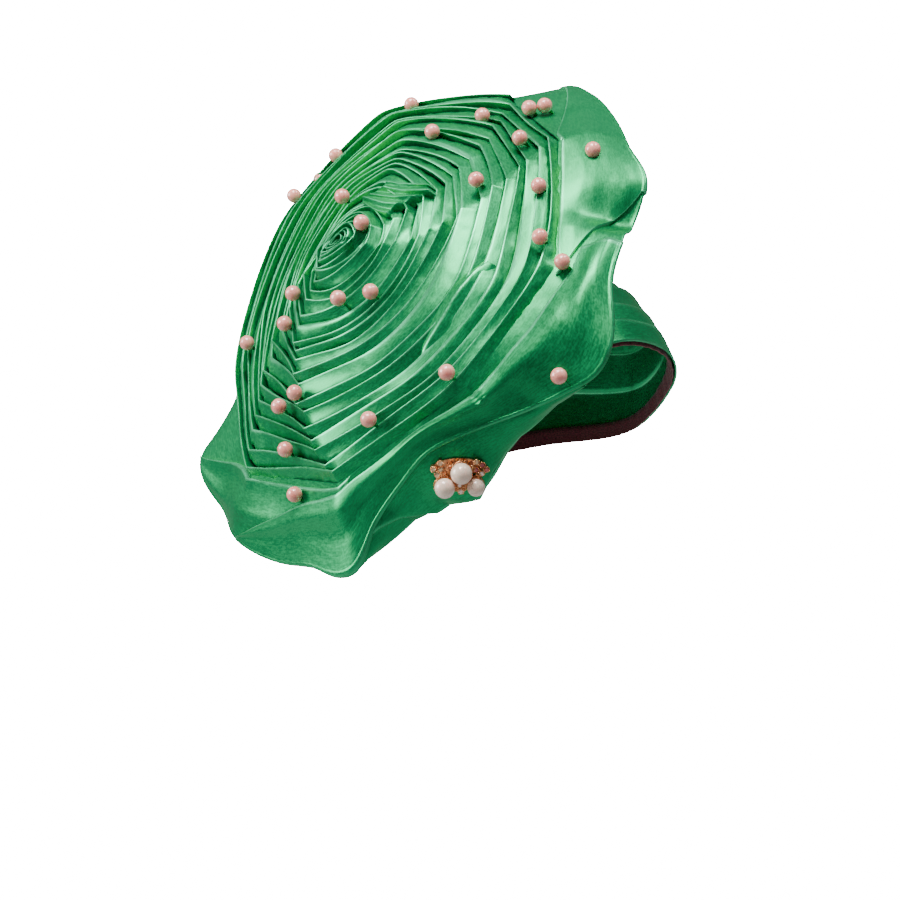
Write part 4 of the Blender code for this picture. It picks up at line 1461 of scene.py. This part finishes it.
@dataclass
class Brim:
    """Wide fluted brim: a folded base cloth and the lobes of satin that lie over it."""

    form: BrimForm
    finish: SatinFinish
    stations: int = 640
    gather: float = 0.0009
    waves: tuple = (3, 0.050, 0.012)
    depth_scale: float = 0.04
    crumple: float = 0.00014
    lobe_width: float = 0.05
    lobes: tuple = ()

    def base(self, material: Material) -> Object:
        """Build the base cloth, round the fold and under the rosette.

        Args:
            material: Its finish.

        Returns:
            The mesh object.
        """
        angle = np.arange(self.stations) * 360.0 / self.stations
        top = np.linspace(1.0, 0.0, 22)
        turn = -np.linspace(0.0, self.form.fold_span, 9)[1:]
        under = -self.form.fold_span - np.linspace(0.0, 1.0 - self.form.fold_span, 24)[1:]
        floor = -1.0 - np.array([0.04, 0.15, 0.4, 0.7, 1.0])
        place = np.concatenate([top, turn, under, floor])
        base = self.form.points(angle[None, :], place[:, None])
        normal = grid_normals(base, True)
        if (normal[5, 0] @ self.form.disc.facing) < 0:
            normal = -normal
        turns = np.radians(angle)[None, :]
        depth = place[:, None]
        below = smooth_step(-depth, 0.12, 0.5) * (1.0 - smooth_step(-depth, 0.97, 1.02))
        gathers = np.sin(turns * 46 + 2.2 * np.sin(turns * 5) + 3.0 * np.sin(turns * 3 + 1.0))
        gathers = gathers * (0.6 + 0.4 * np.sin(turns * 7 + 0.6))
        above = smooth_step(depth, 0.0, 0.15) * (1.0 - smooth_step(depth, 0.85, 1.0))
        ripples = Ripples(*self.waves).read(turns * self.form.radius, depth * self.depth_scale)
        lift = gathers * below * self.gather + ripples * (above + below) * self.crumple
        points = base + normal * lift[..., None]
        # Painted highlight along the outer fold.
        fold = self.form.rim_highlight_at(depth) * np.ones_like(turns)
        grid = ClothGrid("satin_brim", points, cloth_lengths(points), fold, closed=True)
        return grid.build(material)

    def build(self, effects: SharedEffects) -> None:
        """Build the base cloth and the lobes.

        Args:
            effects: The shared node groups.
        """
        material = self.finish.build(effects)
        base = register(self.base(material), Slot.SATIN, "brim")
        report(base)
        for lobe in self.lobes:
            thing = register(lobe.build(self.form, material), Slot.SATIN)
            report(thing)


LOWER_LOBE = Lobe("lower_lobe", (
    ("bottom corner", 166.0, 0.03, 165.0, 1.6, 1.6, 1.2, 0.9, 0.5),
    ("bottom back", 176.3, 0.40, 176.0, 3.0, 4.0, 2.0, 1.2, 0.5),
    ("bottom", 188.9, 0.65, 186.0, 3.0, 4.8, 2.0, 0.8, 0.5),
    ("low front", 200.6, 0.80, 197.0, 3.0, 4.6, 1.4, 0.8, 0.9),
    ("low corner", 209.7, 0.88, 206.5, 3.0, 4.2, 1.2, 1.4, 2.0),
    ("panel foot", 219.1, 0.84, 213.5, 2.8, 4.0, 1.4, 1.0, 0.8),
    ("panel fall", 229.8, 0.80, 222.0, 2.8, 4.2, 2.0, 1.2, 0.5),
    ("panel apex", 244.3, 0.80, 234.0, 2.8, 4.8, 2.2, 1.2, 0.5),
    ("panel rise", 256.1, 0.82, 246.0, 2.8, 5.4, 2.6, 1.2, 0.5),
    ("brow end", 264.0, 0.83, 257.0, 2.8, 5.8, 3.0, 1.2, 0.5),
    ("brow fold", 270.1, 0.82, 263.0, 2.8, 6.0, 3.6, 1.2, 0.5),
    ("front corner", 275.5, 0.80, 270.0, 2.6, 5.4, 4.6, 1.6, 0.6),
    ("front tip", 280.5, 0.76, 277.0, 2.2, 4.2, 5.6, 2.6, 0.7),
    ("front lobe", 286.0, 0.66, 286.0, 1.8, 3.0, 5.0, 4.6, 0.8),
    ("tuck end", 293.0, 0.55, 296.0, 1.4, 2.0, 3.4, 3.6, 0.8),
), seed=21)

LEFT_PETAL = Lobe("left_petal", (
    ("left tip", 134.5, 0.04, 135.5, 1.6, 1.4, 1.2, 0.9, 0.5),
    ("ridge start", 140.0, 0.32, 140.5, 3.0, 2.2, 1.6, 2.0, 0.6),
    ("ridge", 146.0, 0.55, 146.0, 3.4, 2.0, 2.0, 3.4, 0.7),
    ("ridge middle", 152.0, 0.73, 151.0, 3.6, 1.8, 2.8, 3.6, 0.7),
    ("ridge bend", 158.0, 0.87, 155.5, 3.4, 1.6, 3.4, 3.2, 0.6),
    ("ridge corner", 164.0, 0.93, 160.0, 2.8, 1.4, 3.8, 2.6, 0.5),
    ("dip", 172.0, 0.93, 165.0, 2.2, 1.4, 4.0, 1.8, 0.4),
    ("under", 182.0, 0.93, 171.0, 1.8, 1.8, 3.2, 1.0, 0.3),
    ("under low", 192.0, 0.92, 178.0, 1.6, 1.6, 1.8, 0.6, 0.2),
    ("low end", 202.0, 0.93, 186.0, 1.2, 0.8, 0.8, 0.3, 0.1),
    ("hidden", 212.0, 0.98, 193.0, 0.2, 0.3, 0.2, 0.1, 0.1),
), seed=22)

UPPER_LOBE = Lobe("upper_lobe", (
    ("top crease", 332.0, 0.97, 366.0, 1.0, 1.2, 1.4, 1.2, 0.5),
    ("top", 325.0, 0.97, 355.0, 1.2, 2.0, 2.4, 1.8, 0.5),
    ("upper", 316.0, 0.97, 343.0, 1.6, 3.0, 3.4, 2.2, 0.5),
    ("band", 306.0, 0.97, 332.0, 2.0, 3.8, 3.8, 2.2, 0.5),
    ("lower", 297.0, 0.96, 323.0, 2.0, 3.6, 3.2, 2.8, 0.8),
    ("low", 290.0, 0.94, 317.0, 1.8, 2.6, 2.4, 3.0, 1.2),
    ("low crease", 284.0, 0.90, 312.6, 1.4, 1.6, 1.8, 2.2, 1.2),
), seed=23)


@dataclass
class HeadCap:
    """Cap over the head: satin wrapped in flat folds, with a turned edge."""

    form: CapForm
    finish: SatinFinish
    columns: int = 240
    fold_shares: tuple = (0.16, 0.30, 0.46, 0.64)
    fold_marks: tuple = (-0.07, -0.03, -0.012, -0.004, 0.001, 0.012, 0.035)
    hem_marks: tuple = (0.0, 0.012, 0.03)
    crown_marks: tuple = (0.74, 0.8, 0.86, 0.91, 0.95, 0.98, 0.995)
    fold_step: float = 0.0014
    # Widths of the painted highlight along the folds and the hem.
    fold_width: float = 0.006
    hem_width: float = 0.008
    swing: float = 0.05
    inset: float = 0.0010
    waves: tuple = (8, 0.080, 0.020)
    crumple: float = 0.0004
    wall: float = 0.0011

    def build(self, effects: SharedEffects) -> None:
        """Build the cap's cloth with its folds and its inner side.

        Args:
            effects: The shared node groups.
        """
        azimuth = np.arange(self.columns) * 360.0 / self.columns
        turns = np.radians(azimuth)[None, :]
        marks = [share + mark for share in self.fold_shares for mark in self.fold_marks]
        rows = np.array(sorted([*self.hem_marks, *marks, *self.crown_marks]))[:, None]
        swing = self.swing * np.sin(turns + 0.7) * np.sin(np.pi * np.clip(rows, 0, 1))
        share = np.clip(rows + swing, 0.0, 0.999)
        edge = self.form.edge(azimuth)[None, :]
        latitude = edge + (90.0 - edge) * share
        rise = np.zeros_like(share)
        for number, place in enumerate(self.fold_shares):
            reach = 0.6 + 0.4 * np.sin(turns * 2 + 1.3 * number)
            ramp = np.where(rows < place, smooth_step(rows, place - 0.10, place - 0.003), 0.0)
            rise = rise + self.fold_step * reach * ramp
        hem = self.fold_step * 0.5 * (1.0 - smooth_step(rows, 0.0, 0.025))
        ripples = Ripples(*self.waves, stretch=2.0).read(turns * self.form.half_length, rows * 0.12)
        inset = self.inset - rise - hem * 0.2 - ripples * self.crumple * smooth_step(rows, 0.0, 0.05)
        points = self.form.points(azimuth[None, :], latitude, inset)
        # Painted highlight along each fold and the hem.
        fold = np.zeros_like(share)
        for place in self.fold_shares:
            fold = fold + np.exp(-((rows - place + self.fold_width) / self.fold_width) ** 2)
        fold = fold + np.exp(-(rows / self.hem_width) ** 2)
        grid = ClothGrid("satin_cap", points, cloth_lengths(points), fold, closed=True)
        thing = register(grid.build(self.finish.build(effects)), Slot.SATIN, "head_cap")
        thicken(thing, self.wall, -1.0)
        report(thing)


@dataclass
class CapLining:
    """Dark edge of the lining under the cap's edge, partly a real lining and partly painted shade along
    that edge.
    """

    form: CapForm
    finish: LiningFinish
    shows: float = 0.0014
    depth: float = 0.0090
    gap: float = 0.0010
    wall: float = 0.0007
    pucker: float = 0.00025
    columns: int = 240

    def build(self, effects: SharedEffects) -> None:
        """Build the lining's band.

        Args:
            effects: The shared node groups.
        """
        azimuth = np.arange(self.columns) * 360.0 / self.columns
        drops = np.array([-self.shows, -self.shows * 0.6, 0.0, 0.002, 0.004, 0.006, self.depth])
        latitude = self.form.edge(azimuth)[None, :] + np.degrees(drops / self.form.half_height)[:, None]
        turns = np.radians(azimuth)[None, :]
        pucker = self.pucker * np.sin(turns * 60 + 2.0 * np.sin(turns * 9)) * np.ones((len(drops), 1))
        points = self.form.points(azimuth[None, :], latitude, self.form.wall + self.gap + pucker)
        fold = np.zeros(points.shape[:2])
        grid = ClothGrid("lining_and_shade_edge", points, cloth_lengths(points), fold, closed=True)
        thing = register(grid.build(self.finish.build(effects)), Slot.LINING, "cap_lining")
        thicken(thing, self.wall, -1.0)
        report(thing)


@dataclass
class TemplePanel:
    """Wrap between the brim's fold and the cap's edge at the right temple.

    Each row holds a name, the angles of its top and its hem, the hem's reach as a share of the brim's
    radius, its drop as a share, and the azimuth and latitude of its foot on the cap. The crease holds
    its place along the panel, its slant and its rise.
    """

    form: BrimForm
    cap: CapForm
    finish: SatinFinish
    wall: float = 0.0018
    drop: float = 0.0187
    swell: float = 0.0025
    tuck_in: float = 1.0
    tuck_up: float = 0.75
    seat: float = 0.0006
    seat_ring: tuple = (0.009, 0.024)
    seat_depth: float = 0.012
    thickness: float = 0.0010
    columns: int = 150
    drop_rows: int = 34
    foot_rows: int = 15
    waves: tuple = (31, 0.060, 0.014)
    crumple: float = 0.0005
    crease: tuple = (0.94, 0.17, 0.0017)
    crease_widths: tuple = (0.055, 0.007)
    rows: tuple = (
        ("brow", -95.5, -93.5, 0.895, 0.45, -113.0, 23.0),
        ("fold", -102.0, -100.0, 0.800, 0.60, -121.0, 14.0),
        ("eye corner", -111.0, -110.5, 0.762, 0.62, -132.0, 3.5),
        ("apex", -120.0, -120.5, 0.770, 0.72, -143.0, -11.0),
        ("tip", -127.0, -126.6, 0.811, 1.00, -150.0, -20.0),
        ("under eye", -134.0, -133.5, 0.782, 0.76, -162.0, -25.0),
        ("foot", -143.0, -143.0, 0.790, 0.62, -174.0, -29.0),
        ("ear", -152.0, -153.5, 0.925, 0.40, -190.0, -32.0),
    )

    def seat_brooch(self, points: Array) -> Array:
        """Lay the cloth flat against the brooch's back.

        Args:
            points: The cloth's points.

        Returns:
            The moved points.
        """
        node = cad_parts["brooch_setting"]
        spots = np.array([node.matrix_world @ vertex.co for vertex in node.data.vertices])
        centre = spots.mean(0)
        out = np.linalg.svd(spots - centre)[2][2]
        out = out * np.sign(out @ (centre - np.array(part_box("head_cap")).mean(0)))
        back = np.percentile((spots - centre) @ out, 2)
        height = (points - centre) @ out
        away = np.linalg.norm(points - centre - height[..., None] * out, axis=-1)
        share = (1.0 - smooth_step(away, *self.seat_ring)) * (np.abs(height) < self.seat_depth)
        return points + out * ((back - self.seat - height) * share)[..., None]

    def build(self, effects: SharedEffects) -> None:
        """Build the panel's cloth.

        Args:
            effects: The shared node groups.
        """
        disc = self.form.disc
        share = np.linspace(0.0, 1.0, self.columns)
        places = np.linspace(0.0, 1.0, len(self.rows))
        top_angle, hem_angle, hem_reach, hem_drop, foot_azimuth, foot_latitude = (
            np.interp(share, places, [row[column] for row in self.rows]) for column in range(1, 7))
        reach, level = self.form.edge(top_angle)
        top = disc.polar(reach - self.form.fold * self.tuck_in, top_angle,
                         level - self.form.fold * self.tuck_up)
        hem = disc.polar(hem_reach * self.form.radius, hem_angle, -hem_drop * self.drop)
        foot = self.cap.points(foot_azimuth, foot_latitude, -CLEARANCE - self.wall / 2)
        out = hem - disc.middle
        out = unit(out - (out @ disc.facing)[:, None] * disc.facing)
        rows = []
        for part in np.linspace(0.0, 1.0, self.drop_rows):
            bulge = self.swell * math.sin(math.pi * part)
            rows.append(top + (hem - top) * part + out * bulge)
        for part in np.linspace(0.0, 1.0, self.foot_rows + 1)[1:]:
            rows.append(hem + (foot - hem) * part)
        points = np.array(rows)
        lengths = cloth_lengths(points)
        normal = grid_normals(points, False)
        if normal[10, 75] @ (points[10, 75] - disc.middle) < 0:
            normal = -normal
        rows_down = np.arange(len(points))[:, None]
        hem_row = self.drop_rows - 1.0
        keep = smooth_step(rows_down, 1, 8)
        ripples = Ripples(*self.waves, stretch=1.6).over(lengths)
        points = points + normal * (ripples * self.crumple * keep)[..., None]
        start, slant, rise = self.crease
        left, right = self.crease_widths
        beside = share[None, :] - (start - slant * np.minimum(rows_down / hem_row, 1.0))
        crease = np.where(beside < 0, np.exp(-(beside / left) ** 2), np.exp(-(beside / right) ** 2))
        crease = crease * (1.0 - smooth_step(rows_down, hem_row, hem_row + 11))
        points = self.seat_brooch(points + normal * (crease * rise)[..., None])
        # Painted highlight along the hem and the crease.
        fold = np.exp(-((rows_down - hem_row) / 1.2) ** 2)
        fold = fold + 0.8 * np.exp(-(beside / 0.006) ** 2) * (rows_down < hem_row + 3)
        grid = ClothGrid("satin_temple_panel", points, lengths, fold)
        thing = register(grid.build(self.finish.build(effects)), Slot.SATIN, "temple_panel")
        thicken(thing, self.thickness, 0.0)
        report(thing)


def node_centre(node: str) -> Vector:
    """Return the middle of a node's box."""
    low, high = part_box(node)
    return (Vector(low) + Vector(high)) / 2


def merged_mesh(name: str, parts: list[tuple[Array, Array]],
                material: Material) -> Object:
    """Join small closed shapes into one smooth shaded object.

    Args:
        name: Name of the object.
        parts: Points and quads of each shape.
        material: Its finish.

    Returns:
        The mesh object.
    """
    points, quads, count = [], [], 0
    for spots, faces in parts:
        points.append(spots)
        quads.append(faces + count)
        count += len(spots)
    mesh = bpy.data.meshes.new(name)
    mesh.from_pydata(np.concatenate(points).tolist(), [], np.concatenate(quads).tolist())
    mesh.materials.append(material)
    mesh.shade_smooth()
    mesh.validate()
    thing = bpy.data.objects.new(name, mesh)
    bpy.context.scene.collection.objects.link(thing)
    return thing


def turned_shape(centre: Array, axis: Array, outline: list[tuple[float, float]], sides: int,
                 closed: bool = False) -> tuple[Array, Array]:
    """Turn an outline of radius and height about an axis.

    Args:
        centre: Middle of the shape.
        axis: Its axis.
        outline: Rows of radius and height, from one end to the other.
        sides: Steps round the axis.
        closed: Whether the outline's last row joins its first, as in a ring.

    Returns:
        Points and quads.
    """
    axis = unit(axis)
    across = unit(np.cross(axis, [0.0, 0.0, 1.0]))
    other = np.cross(axis, across)
    turn = np.arange(sides) * 2 * math.pi / sides
    rim = np.cos(turn)[:, None] * across + np.sin(turn)[:, None] * other
    rows = list(outline) + ([outline[0]] if closed else [])
    points = np.concatenate([centre + rim * radius + axis * height for radius, height in rows])
    return points, grid_faces(len(rows), sides, True)


def bead_outline(radius: float, steps: int = 6) -> list[tuple[float, float]]:
    """Return the outline of a ball, a hair open at its poles."""
    turns = np.linspace(0.04, math.pi - 0.04, steps + 1)
    return [(radius * math.sin(turn), -radius * math.cos(turn)) for turn in turns]


def ring_outline(radius: float, tube: float, steps: int = 8) -> list[tuple[float, float]]:
    """Return the outline of a ring of round wire."""
    turns = np.arange(steps) * 2 * math.pi / steps
    return [(radius + tube * math.cos(turn), tube * math.sin(turn)) for turn in turns]


@dataclass
class Pearls:
    """Pink pearls scattered over the rosette and the brim, each sewn down through its hole.

    Each row of the stem holds its radius as a share of the widest, its depth below the pearl as a
    share of the stem, and its depth inside the pearl as a share of the pearl's radius.
    """

    finish: PearlFinish
    thread: SatinFinish
    disc: Disc
    radius: float = 0.0040
    count: int = 28
    segments: int = 32
    rings: int = 18
    stem: float = 0.0062
    stem_radius: float = 0.0011
    stem_tip: float = 0.0001
    stem_sides: int = 10
    stem_rows: tuple = ((0.8, 1.0, 1.0), (0.7, 0.4, 1.0), (1.0, 0.0, 0.97), (1.2, 0.0, 0.86))

    def build(self, effects: SharedEffects) -> None:
        """Build each pearl at its node's place, and the threads under them.

        Args:
            effects: The shared node groups.
        """
        material = self.finish.build(effects)
        outline = [(self.stem_tip, -self.radius - self.stem)]
        outline += [(self.stem_radius * wide, -self.radius * inside - self.stem * below)
                    for wide, below, inside in self.stem_rows]
        stems = []
        for number in range(1, self.count + 1):
            node = f"pearl_{number:02d}"
            centre = node_centre(node)
            thing = round_bead(f"pink_{node}", centre, self.radius, material, self.segments, self.rings)
            register(thing, Slot.PINK_PEARL, node)
            stems.append(turned_shape(np.array(centre), self.disc.facing, outline, self.stem_sides))
        register(merged_mesh("pearl_threads", stems, self.thread.build(effects)), Slot.SATIN)
        LOG.info("pink pearls: %d", self.count)


def round_bead(name: str, centre: Vector, radius: float, material: Material, segments: int,
               rings: int) -> Object:
    """Build a smooth ball.

    Args:
        name: Name of the object.
        centre: Its middle.
        radius: Its radius.
        material: Its finish.
        segments: Faces round it.
        rings: Faces from end to end.

    Returns:
        The mesh object.
    """
    bpy.ops.mesh.primitive_uv_sphere_add(segments=segments, ring_count=rings, radius=radius)
    thing = bpy.context.object
    thing.name = name
    thing.data.transform(Matrix.Translation(centre))
    thing.data.materials.append(material)
    thing.data.shade_smooth()
    return thing


@dataclass
class Brooch:
    """Pearl and rhinestone brooch on the temple panel, with claws, wire rings, scrolls and millgrain.

    Pearls hold a name and a radius as a share of the scale. Scrolls hold a name, a place across and
    up from the brooch's heart and a radius, all as shares of the scale.
    """

    metal: MetalFinish
    pearl: PearlFinish
    crystal: CrystalFinish
    ruby: CrystalFinish
    champagne: CrystalFinish
    scale: float = 0.010
    pearls: tuple = (("top", 0.52), ("left", 0.49), ("right", 0.43))
    pearl_faces: tuple = (40, 24)
    stones: int = 11
    red_stones: tuple = (6, 7, 9)
    champagne_stones: tuple = (1, 2, 3, 4, 5)
    stone_radius: float = 0.00135
    stone_wire: float = 0.00022
    stone_sink: float = 0.0002
    claw: float = 0.00036
    claw_rise: float = 0.00025
    claw_turns: tuple = (45.0, 90.0, 17.0)
    wire: float = 0.00034
    grain: float = 0.00030
    grains: int = 26
    cup_depth: float = 0.72
    cup_share: float = 0.90
    scroll_shift: tuple = (0.0012, -0.0026)
    scroll_spread: float = 1.15
    scroll_tilt: float = 0.3
    scroll_bead: float = 1.9
    scroll_bead_rise: float = 0.0003
    scrolls: tuple = (
        ("crown left", -0.42, 0.52, 0.13),
        ("crown middle", -0.12, 0.66, 0.15),
        ("crown right", 0.20, 0.64, 0.14),
        ("crown far right", 0.48, 0.52, 0.13),
        ("left wing", -0.72, 0.30, 0.12),
        ("left wing low", -0.62, 0.06, 0.11),
        ("right wing", 0.76, 0.28, 0.12),
        ("right wing low", 0.66, 0.04, 0.11),
        ("heart left", -0.16, -0.52, 0.10),
        ("heart right", 0.16, -0.52, 0.10),
    )

    @property
    def stone_nodes(self) -> list[str]:
        """Names of the stones' nodes, from the first."""
        return [f"brooch_stone_{number:02d}" for number in range(1, self.stones + 1)]

    def axes(self) -> tuple[Array, Array, Array]:
        """Read the brooch's directions from its nodes.

        Returns:
            The directions across, up and out.
        """
        stones = np.array([node_centre(node) for node in self.stone_nodes])
        left, right, top = (np.array(node_centre(f"brooch_pearl_{name}"))
                            for name in ("left", "right", "top"))
        out = np.linalg.svd(stones - stones.mean(0))[2][2]
        out = out * np.sign(out @ (top - np.array(node_centre("head_cap"))))
        across = right - left
        across = unit(across - out * (across @ out))
        return across, np.cross(out, across), out

    def metalwork(self, material: Material) -> None:
        """Build the claws, the wire rings, the scrolls and the millgrain.

        Args:
            material: The metal's finish.
        """
        across, up, out = self.axes()
        claws, wires, grains = [], [], []
        stone_ring, claw = ring_outline(self.stone_radius, self.stone_wire), bead_outline(self.claw)
        first, apart, stagger = self.claw_turns
        for number, node in enumerate(self.stone_nodes, 1):
            centre = np.array(node_centre(node))
            wires.append(turned_shape(centre - out * self.stone_sink, out, stone_ring, 16, True))
            for step in range(4):
                turn = math.radians(first + apart * step + number * stagger)
                way = across * math.cos(turn) + up * math.sin(turn)
                place = centre + way * self.stone_radius + out * self.claw_rise
                claws.append(turned_shape(place, out, claw, 8))
        hearts = []
        for name, share in self.pearls:
            centre = np.array(node_centre(f"brooch_pearl_{name}"))
            hearts.append(centre)
            radius = share * self.scale
            foot = centre - out * radius * self.cup_depth
            cup = radius * self.cup_share
            wires.append(turned_shape(foot, out, ring_outline(cup, self.wire), 36, True))
            for step in range(self.grains):
                turn = 2 * math.pi * step / self.grains
                way = across * math.cos(turn) + up * math.sin(turn)
                place = foot + way * (cup + self.wire * 1.5)
                grains.append(turned_shape(place, out, bead_outline(self.grain), 8))
        rise, sink = self.scroll_shift
        middle = np.mean(hearts, axis=0) + up * rise + out * sink
        for _, x, y, size in self.scrolls:
            spot = middle + across * x * self.scale * self.scroll_spread + up * y * self.scale
            ring = ring_outline(size * self.scale, self.wire)
            wires.append(turned_shape(spot, out + up * self.scroll_tilt * x, ring, 20, True))
            bead = bead_outline(self.grain * self.scroll_bead)
            grains.append(turned_shape(spot + out * self.scroll_bead_rise, out, bead, 10))
        pieces = {"brooch_claws": claws, "brooch_wire_rings": wires, "brooch_millgrain": grains}
        for name, parts in pieces.items():
            register(merged_mesh(name, parts, material), Slot.ROSE_GOLD)

    @staticmethod
    def dress(node: str, material: Material) -> None:
        """Give a solid of the frame its finish.

        Args:
            node: Name of the solid's node.
            material: Its finish.
        """
        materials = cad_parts[node].data.materials
        materials.clear()
        materials.append(material)

    def build(self, effects: SharedEffects) -> None:
        """Build the brooch's parts over their nodes.

        Args:
            effects: The shared node groups.
        """
        metal, pearl, crystal, ruby, champagne = (
            finish.build(effects)
            for finish in (self.metal, self.pearl, self.crystal, self.ruby, self.champagne))
        finishes = {number: crystal for number in range(1, self.stones + 1)}
        finishes.update({number: ruby for number in self.red_stones})
        finishes.update({number: champagne for number in self.champagne_stones})
        for name, share in self.pearls:
            node = f"brooch_pearl_{name}"
            thing = round_bead(f"white_{name}_pearl", node_centre(node), share * self.scale, pearl,
                               *self.pearl_faces)
            register(thing, Slot.WHITE_PEARL, node)
        self.dress("brooch_setting", metal)
        for number, node in enumerate(self.stone_nodes, 1):
            self.dress(node, finishes[number])
        self.metalwork(metal)
        LOG.info("brooch: %d pearls, %d stones", len(self.pearls), self.stones)


@dataclass(frozen=True)
class Studio:
    """Pale floor, soft lights and the camera.

    Each light holds a name, its place, the side of its square and its power in watts.
    """

    azimuth: float = -38.0
    elevation: float = 12.0
    distance: float = 1.250
    sensor: float = 36.0
    clip: tuple = (0.01, 100.0)
    frame_pixels: float = 900.0
    metres_per_pixel: float = 0.00054
    head_pixel: tuple = (526.0, 449.0)
    eye_height: float = -0.020
    floor_height: float = -0.450
    floor_size: float = 60.0
    floor_tones: tuple = (0.40, 0.44)
    floor_roughness: float = 0.8
    floor_glow: float = 40.0
    floor_share: float = 0.9
    world_strength: float = 0.24
    light_aim: tuple = (-0.03, 0.0, 0.03)
    lights: tuple = (
        ("Overhead", (-0.36, -0.08, 1.17), 0.50, 24.0),
        ("Left back", (-1.05, 0.68, 0.40), 0.60, 18.0),
        ("High front", (0.50, -0.35, 1.20), 0.36, 9.0),
    )

    def view_axes(self) -> tuple[Vector, Vector, Vector]:
        """Work out the camera's directions.

        Returns:
            The directions back to the camera, right and up in its view.
        """
        turn, lift = math.radians(self.azimuth), math.radians(self.elevation)
        back = Vector((math.sin(turn) * math.cos(lift), -math.cos(turn) * math.cos(lift), math.sin(lift)))
        right = Vector((math.cos(turn), math.sin(turn), 0.0))
        return back, right, back.cross(right)

    def build_camera(self) -> None:
        """Build the camera at the photograph's angle."""
        back, right, up = self.view_axes()
        middle = self.frame_pixels / 2
        across = (middle - self.head_pixel[0]) * self.metres_per_pixel
        above = (self.head_pixel[1] - middle) * self.metres_per_pixel
        target = Vector((0.0, 0.0, self.eye_height)) + right * across + up * above
        data = bpy.data.cameras.new("Camera")
        data.sensor_width = self.sensor
        data.lens = self.sensor * self.distance / (self.metres_per_pixel * self.frame_pixels)
        data.clip_start, data.clip_end = self.clip
        camera = bpy.data.objects.new("Camera", data)
        camera.matrix_world = Matrix((right, up, back)).transposed().to_4x4()
        camera.location = target + back * self.distance
        bpy.context.scene.collection.objects.link(camera)
        bpy.context.scene.camera = camera

    def build_floor(self) -> None:
        """Build the pale floor, which glows for the camera only."""
        material, bench, shader = new_material("Pale floor")
        tone = bench.ramp(bench.noise(bench.room(), 3.0), 0.2, 0.8)
        bench.fill(shader, {"Base Color": bench.mix(tone, *(grey(part) for part in self.floor_tones)),
                            "Roughness": self.floor_roughness})
        seen = bench.add("ShaderNodeLightPath").outputs["Is Camera Ray"]
        glow = bench.add("ShaderNodeEmission", {"Color": grey(1.0), "Strength": self.floor_glow})
        both = bench.add("ShaderNodeMixShader", {0: bench.math("MULTIPLY", seen, self.floor_share),
                                                 1: shader.outputs[0], 2: glow.outputs[0]})
        bench.fill(bench.tree.nodes["Material Output"], {"Surface": both.outputs[0]})
        place = (0.0, 0.0, self.floor_height)
        bpy.ops.mesh.primitive_plane_add(size=self.floor_size, location=place)
        floor = bpy.context.object
        floor.name = "pale_floor"
        floor.data.materials.append(material)

    def build_world(self) -> None:
        """Build the even light round the scene, brighter where the camera looks past the floor."""
        world = bpy.data.worlds.new("Studio")
        world.use_nodes = True
        bench = NodeBench(world.node_tree)
        seen = bench.add("ShaderNodeLightPath").outputs["Is Camera Ray"]
        strength = bench.scaled(seen, self.floor_glow * self.floor_share, self.world_strength)
        bench.fill(world.node_tree.nodes["Background"], {"Color": grey(1.0), "Strength": strength})
        bpy.context.scene.world = world

    def add_light(self, name: str, place: tuple, size: float, power: float) -> None:
        """Add a soft square light that faces the head tie.

        Args:
            name: Name of the light.
            place: Its middle.
            size: Side of its square.
            power: Its power in watts.
        """
        data = bpy.data.lights.new(name, "AREA")
        data.size = size
        data.energy = power
        light = bpy.data.objects.new(name, data)
        light.location = place
        light.rotation_euler = (Vector(self.light_aim) - Vector(place)).to_track_quat("-Z", "Y").to_euler()
        bpy.context.scene.collection.objects.link(light)

    def build(self) -> None:
        """Build the camera, the floor, the world and the lights."""
        self.build_camera()
        self.build_floor()
        self.build_world()
        for row in self.lights:
            self.add_light(*row)


def main() -> None:
    """Build every piece of the head tie and the studio round it."""
    logging.basicConfig(level=logging.INFO, format="%(name)s %(message)s")
    cap = CapForm()
    disc = Disc(cap)
    path = PleatPath()
    form = BrimForm(disc, path)
    effects = SharedEffects()
    Studio().build()
    HeadCap(cap, SatinFinish("Satin of the cap")).build(effects)
    CapLining(cap, LiningFinish()).build(effects)
    Rosette(disc, path, SatinFinish("Satin of the rosette")).build(effects)
    TuckedFold(disc, SatinFinish("Satin of the tucked fold")).build(effects)
    BudCreases(disc, SatinFinish("Satin of the bud creases")).build(effects)
    lobes = (LEFT_PETAL, LOWER_LOBE, UPPER_LOBE)
    Brim(form, SatinFinish("Satin of the brim"), lobes=lobes).build(effects)
    TemplePanel(form, cap, SatinFinish("Satin of the temple panel")).build(effects)
    Pearls(PearlFinish("Pink pearl", colour(1.0, 0.40, 0.32), colour(0.84, 0.16, 0.13)),
           SatinFinish("Sewing thread"), disc).build(effects)
    white = PearlFinish("White pearl", colour(1.0, 0.82, 0.64), colour(0.84, 0.46, 0.38))
    ruby = CrystalFinish("Dark red crystal", colour(0.62, 0.16, 0.14), colour(0.28, 0.02, 0.04))
    champagne = CrystalFinish("Champagne crystal", colour(0.98, 0.80, 0.50), colour(0.55, 0.28, 0.12))
    Brooch(MetalFinish(), white, CrystalFinish(), ruby, champagne).build(effects)


if __name__ == "__main__":
    main()
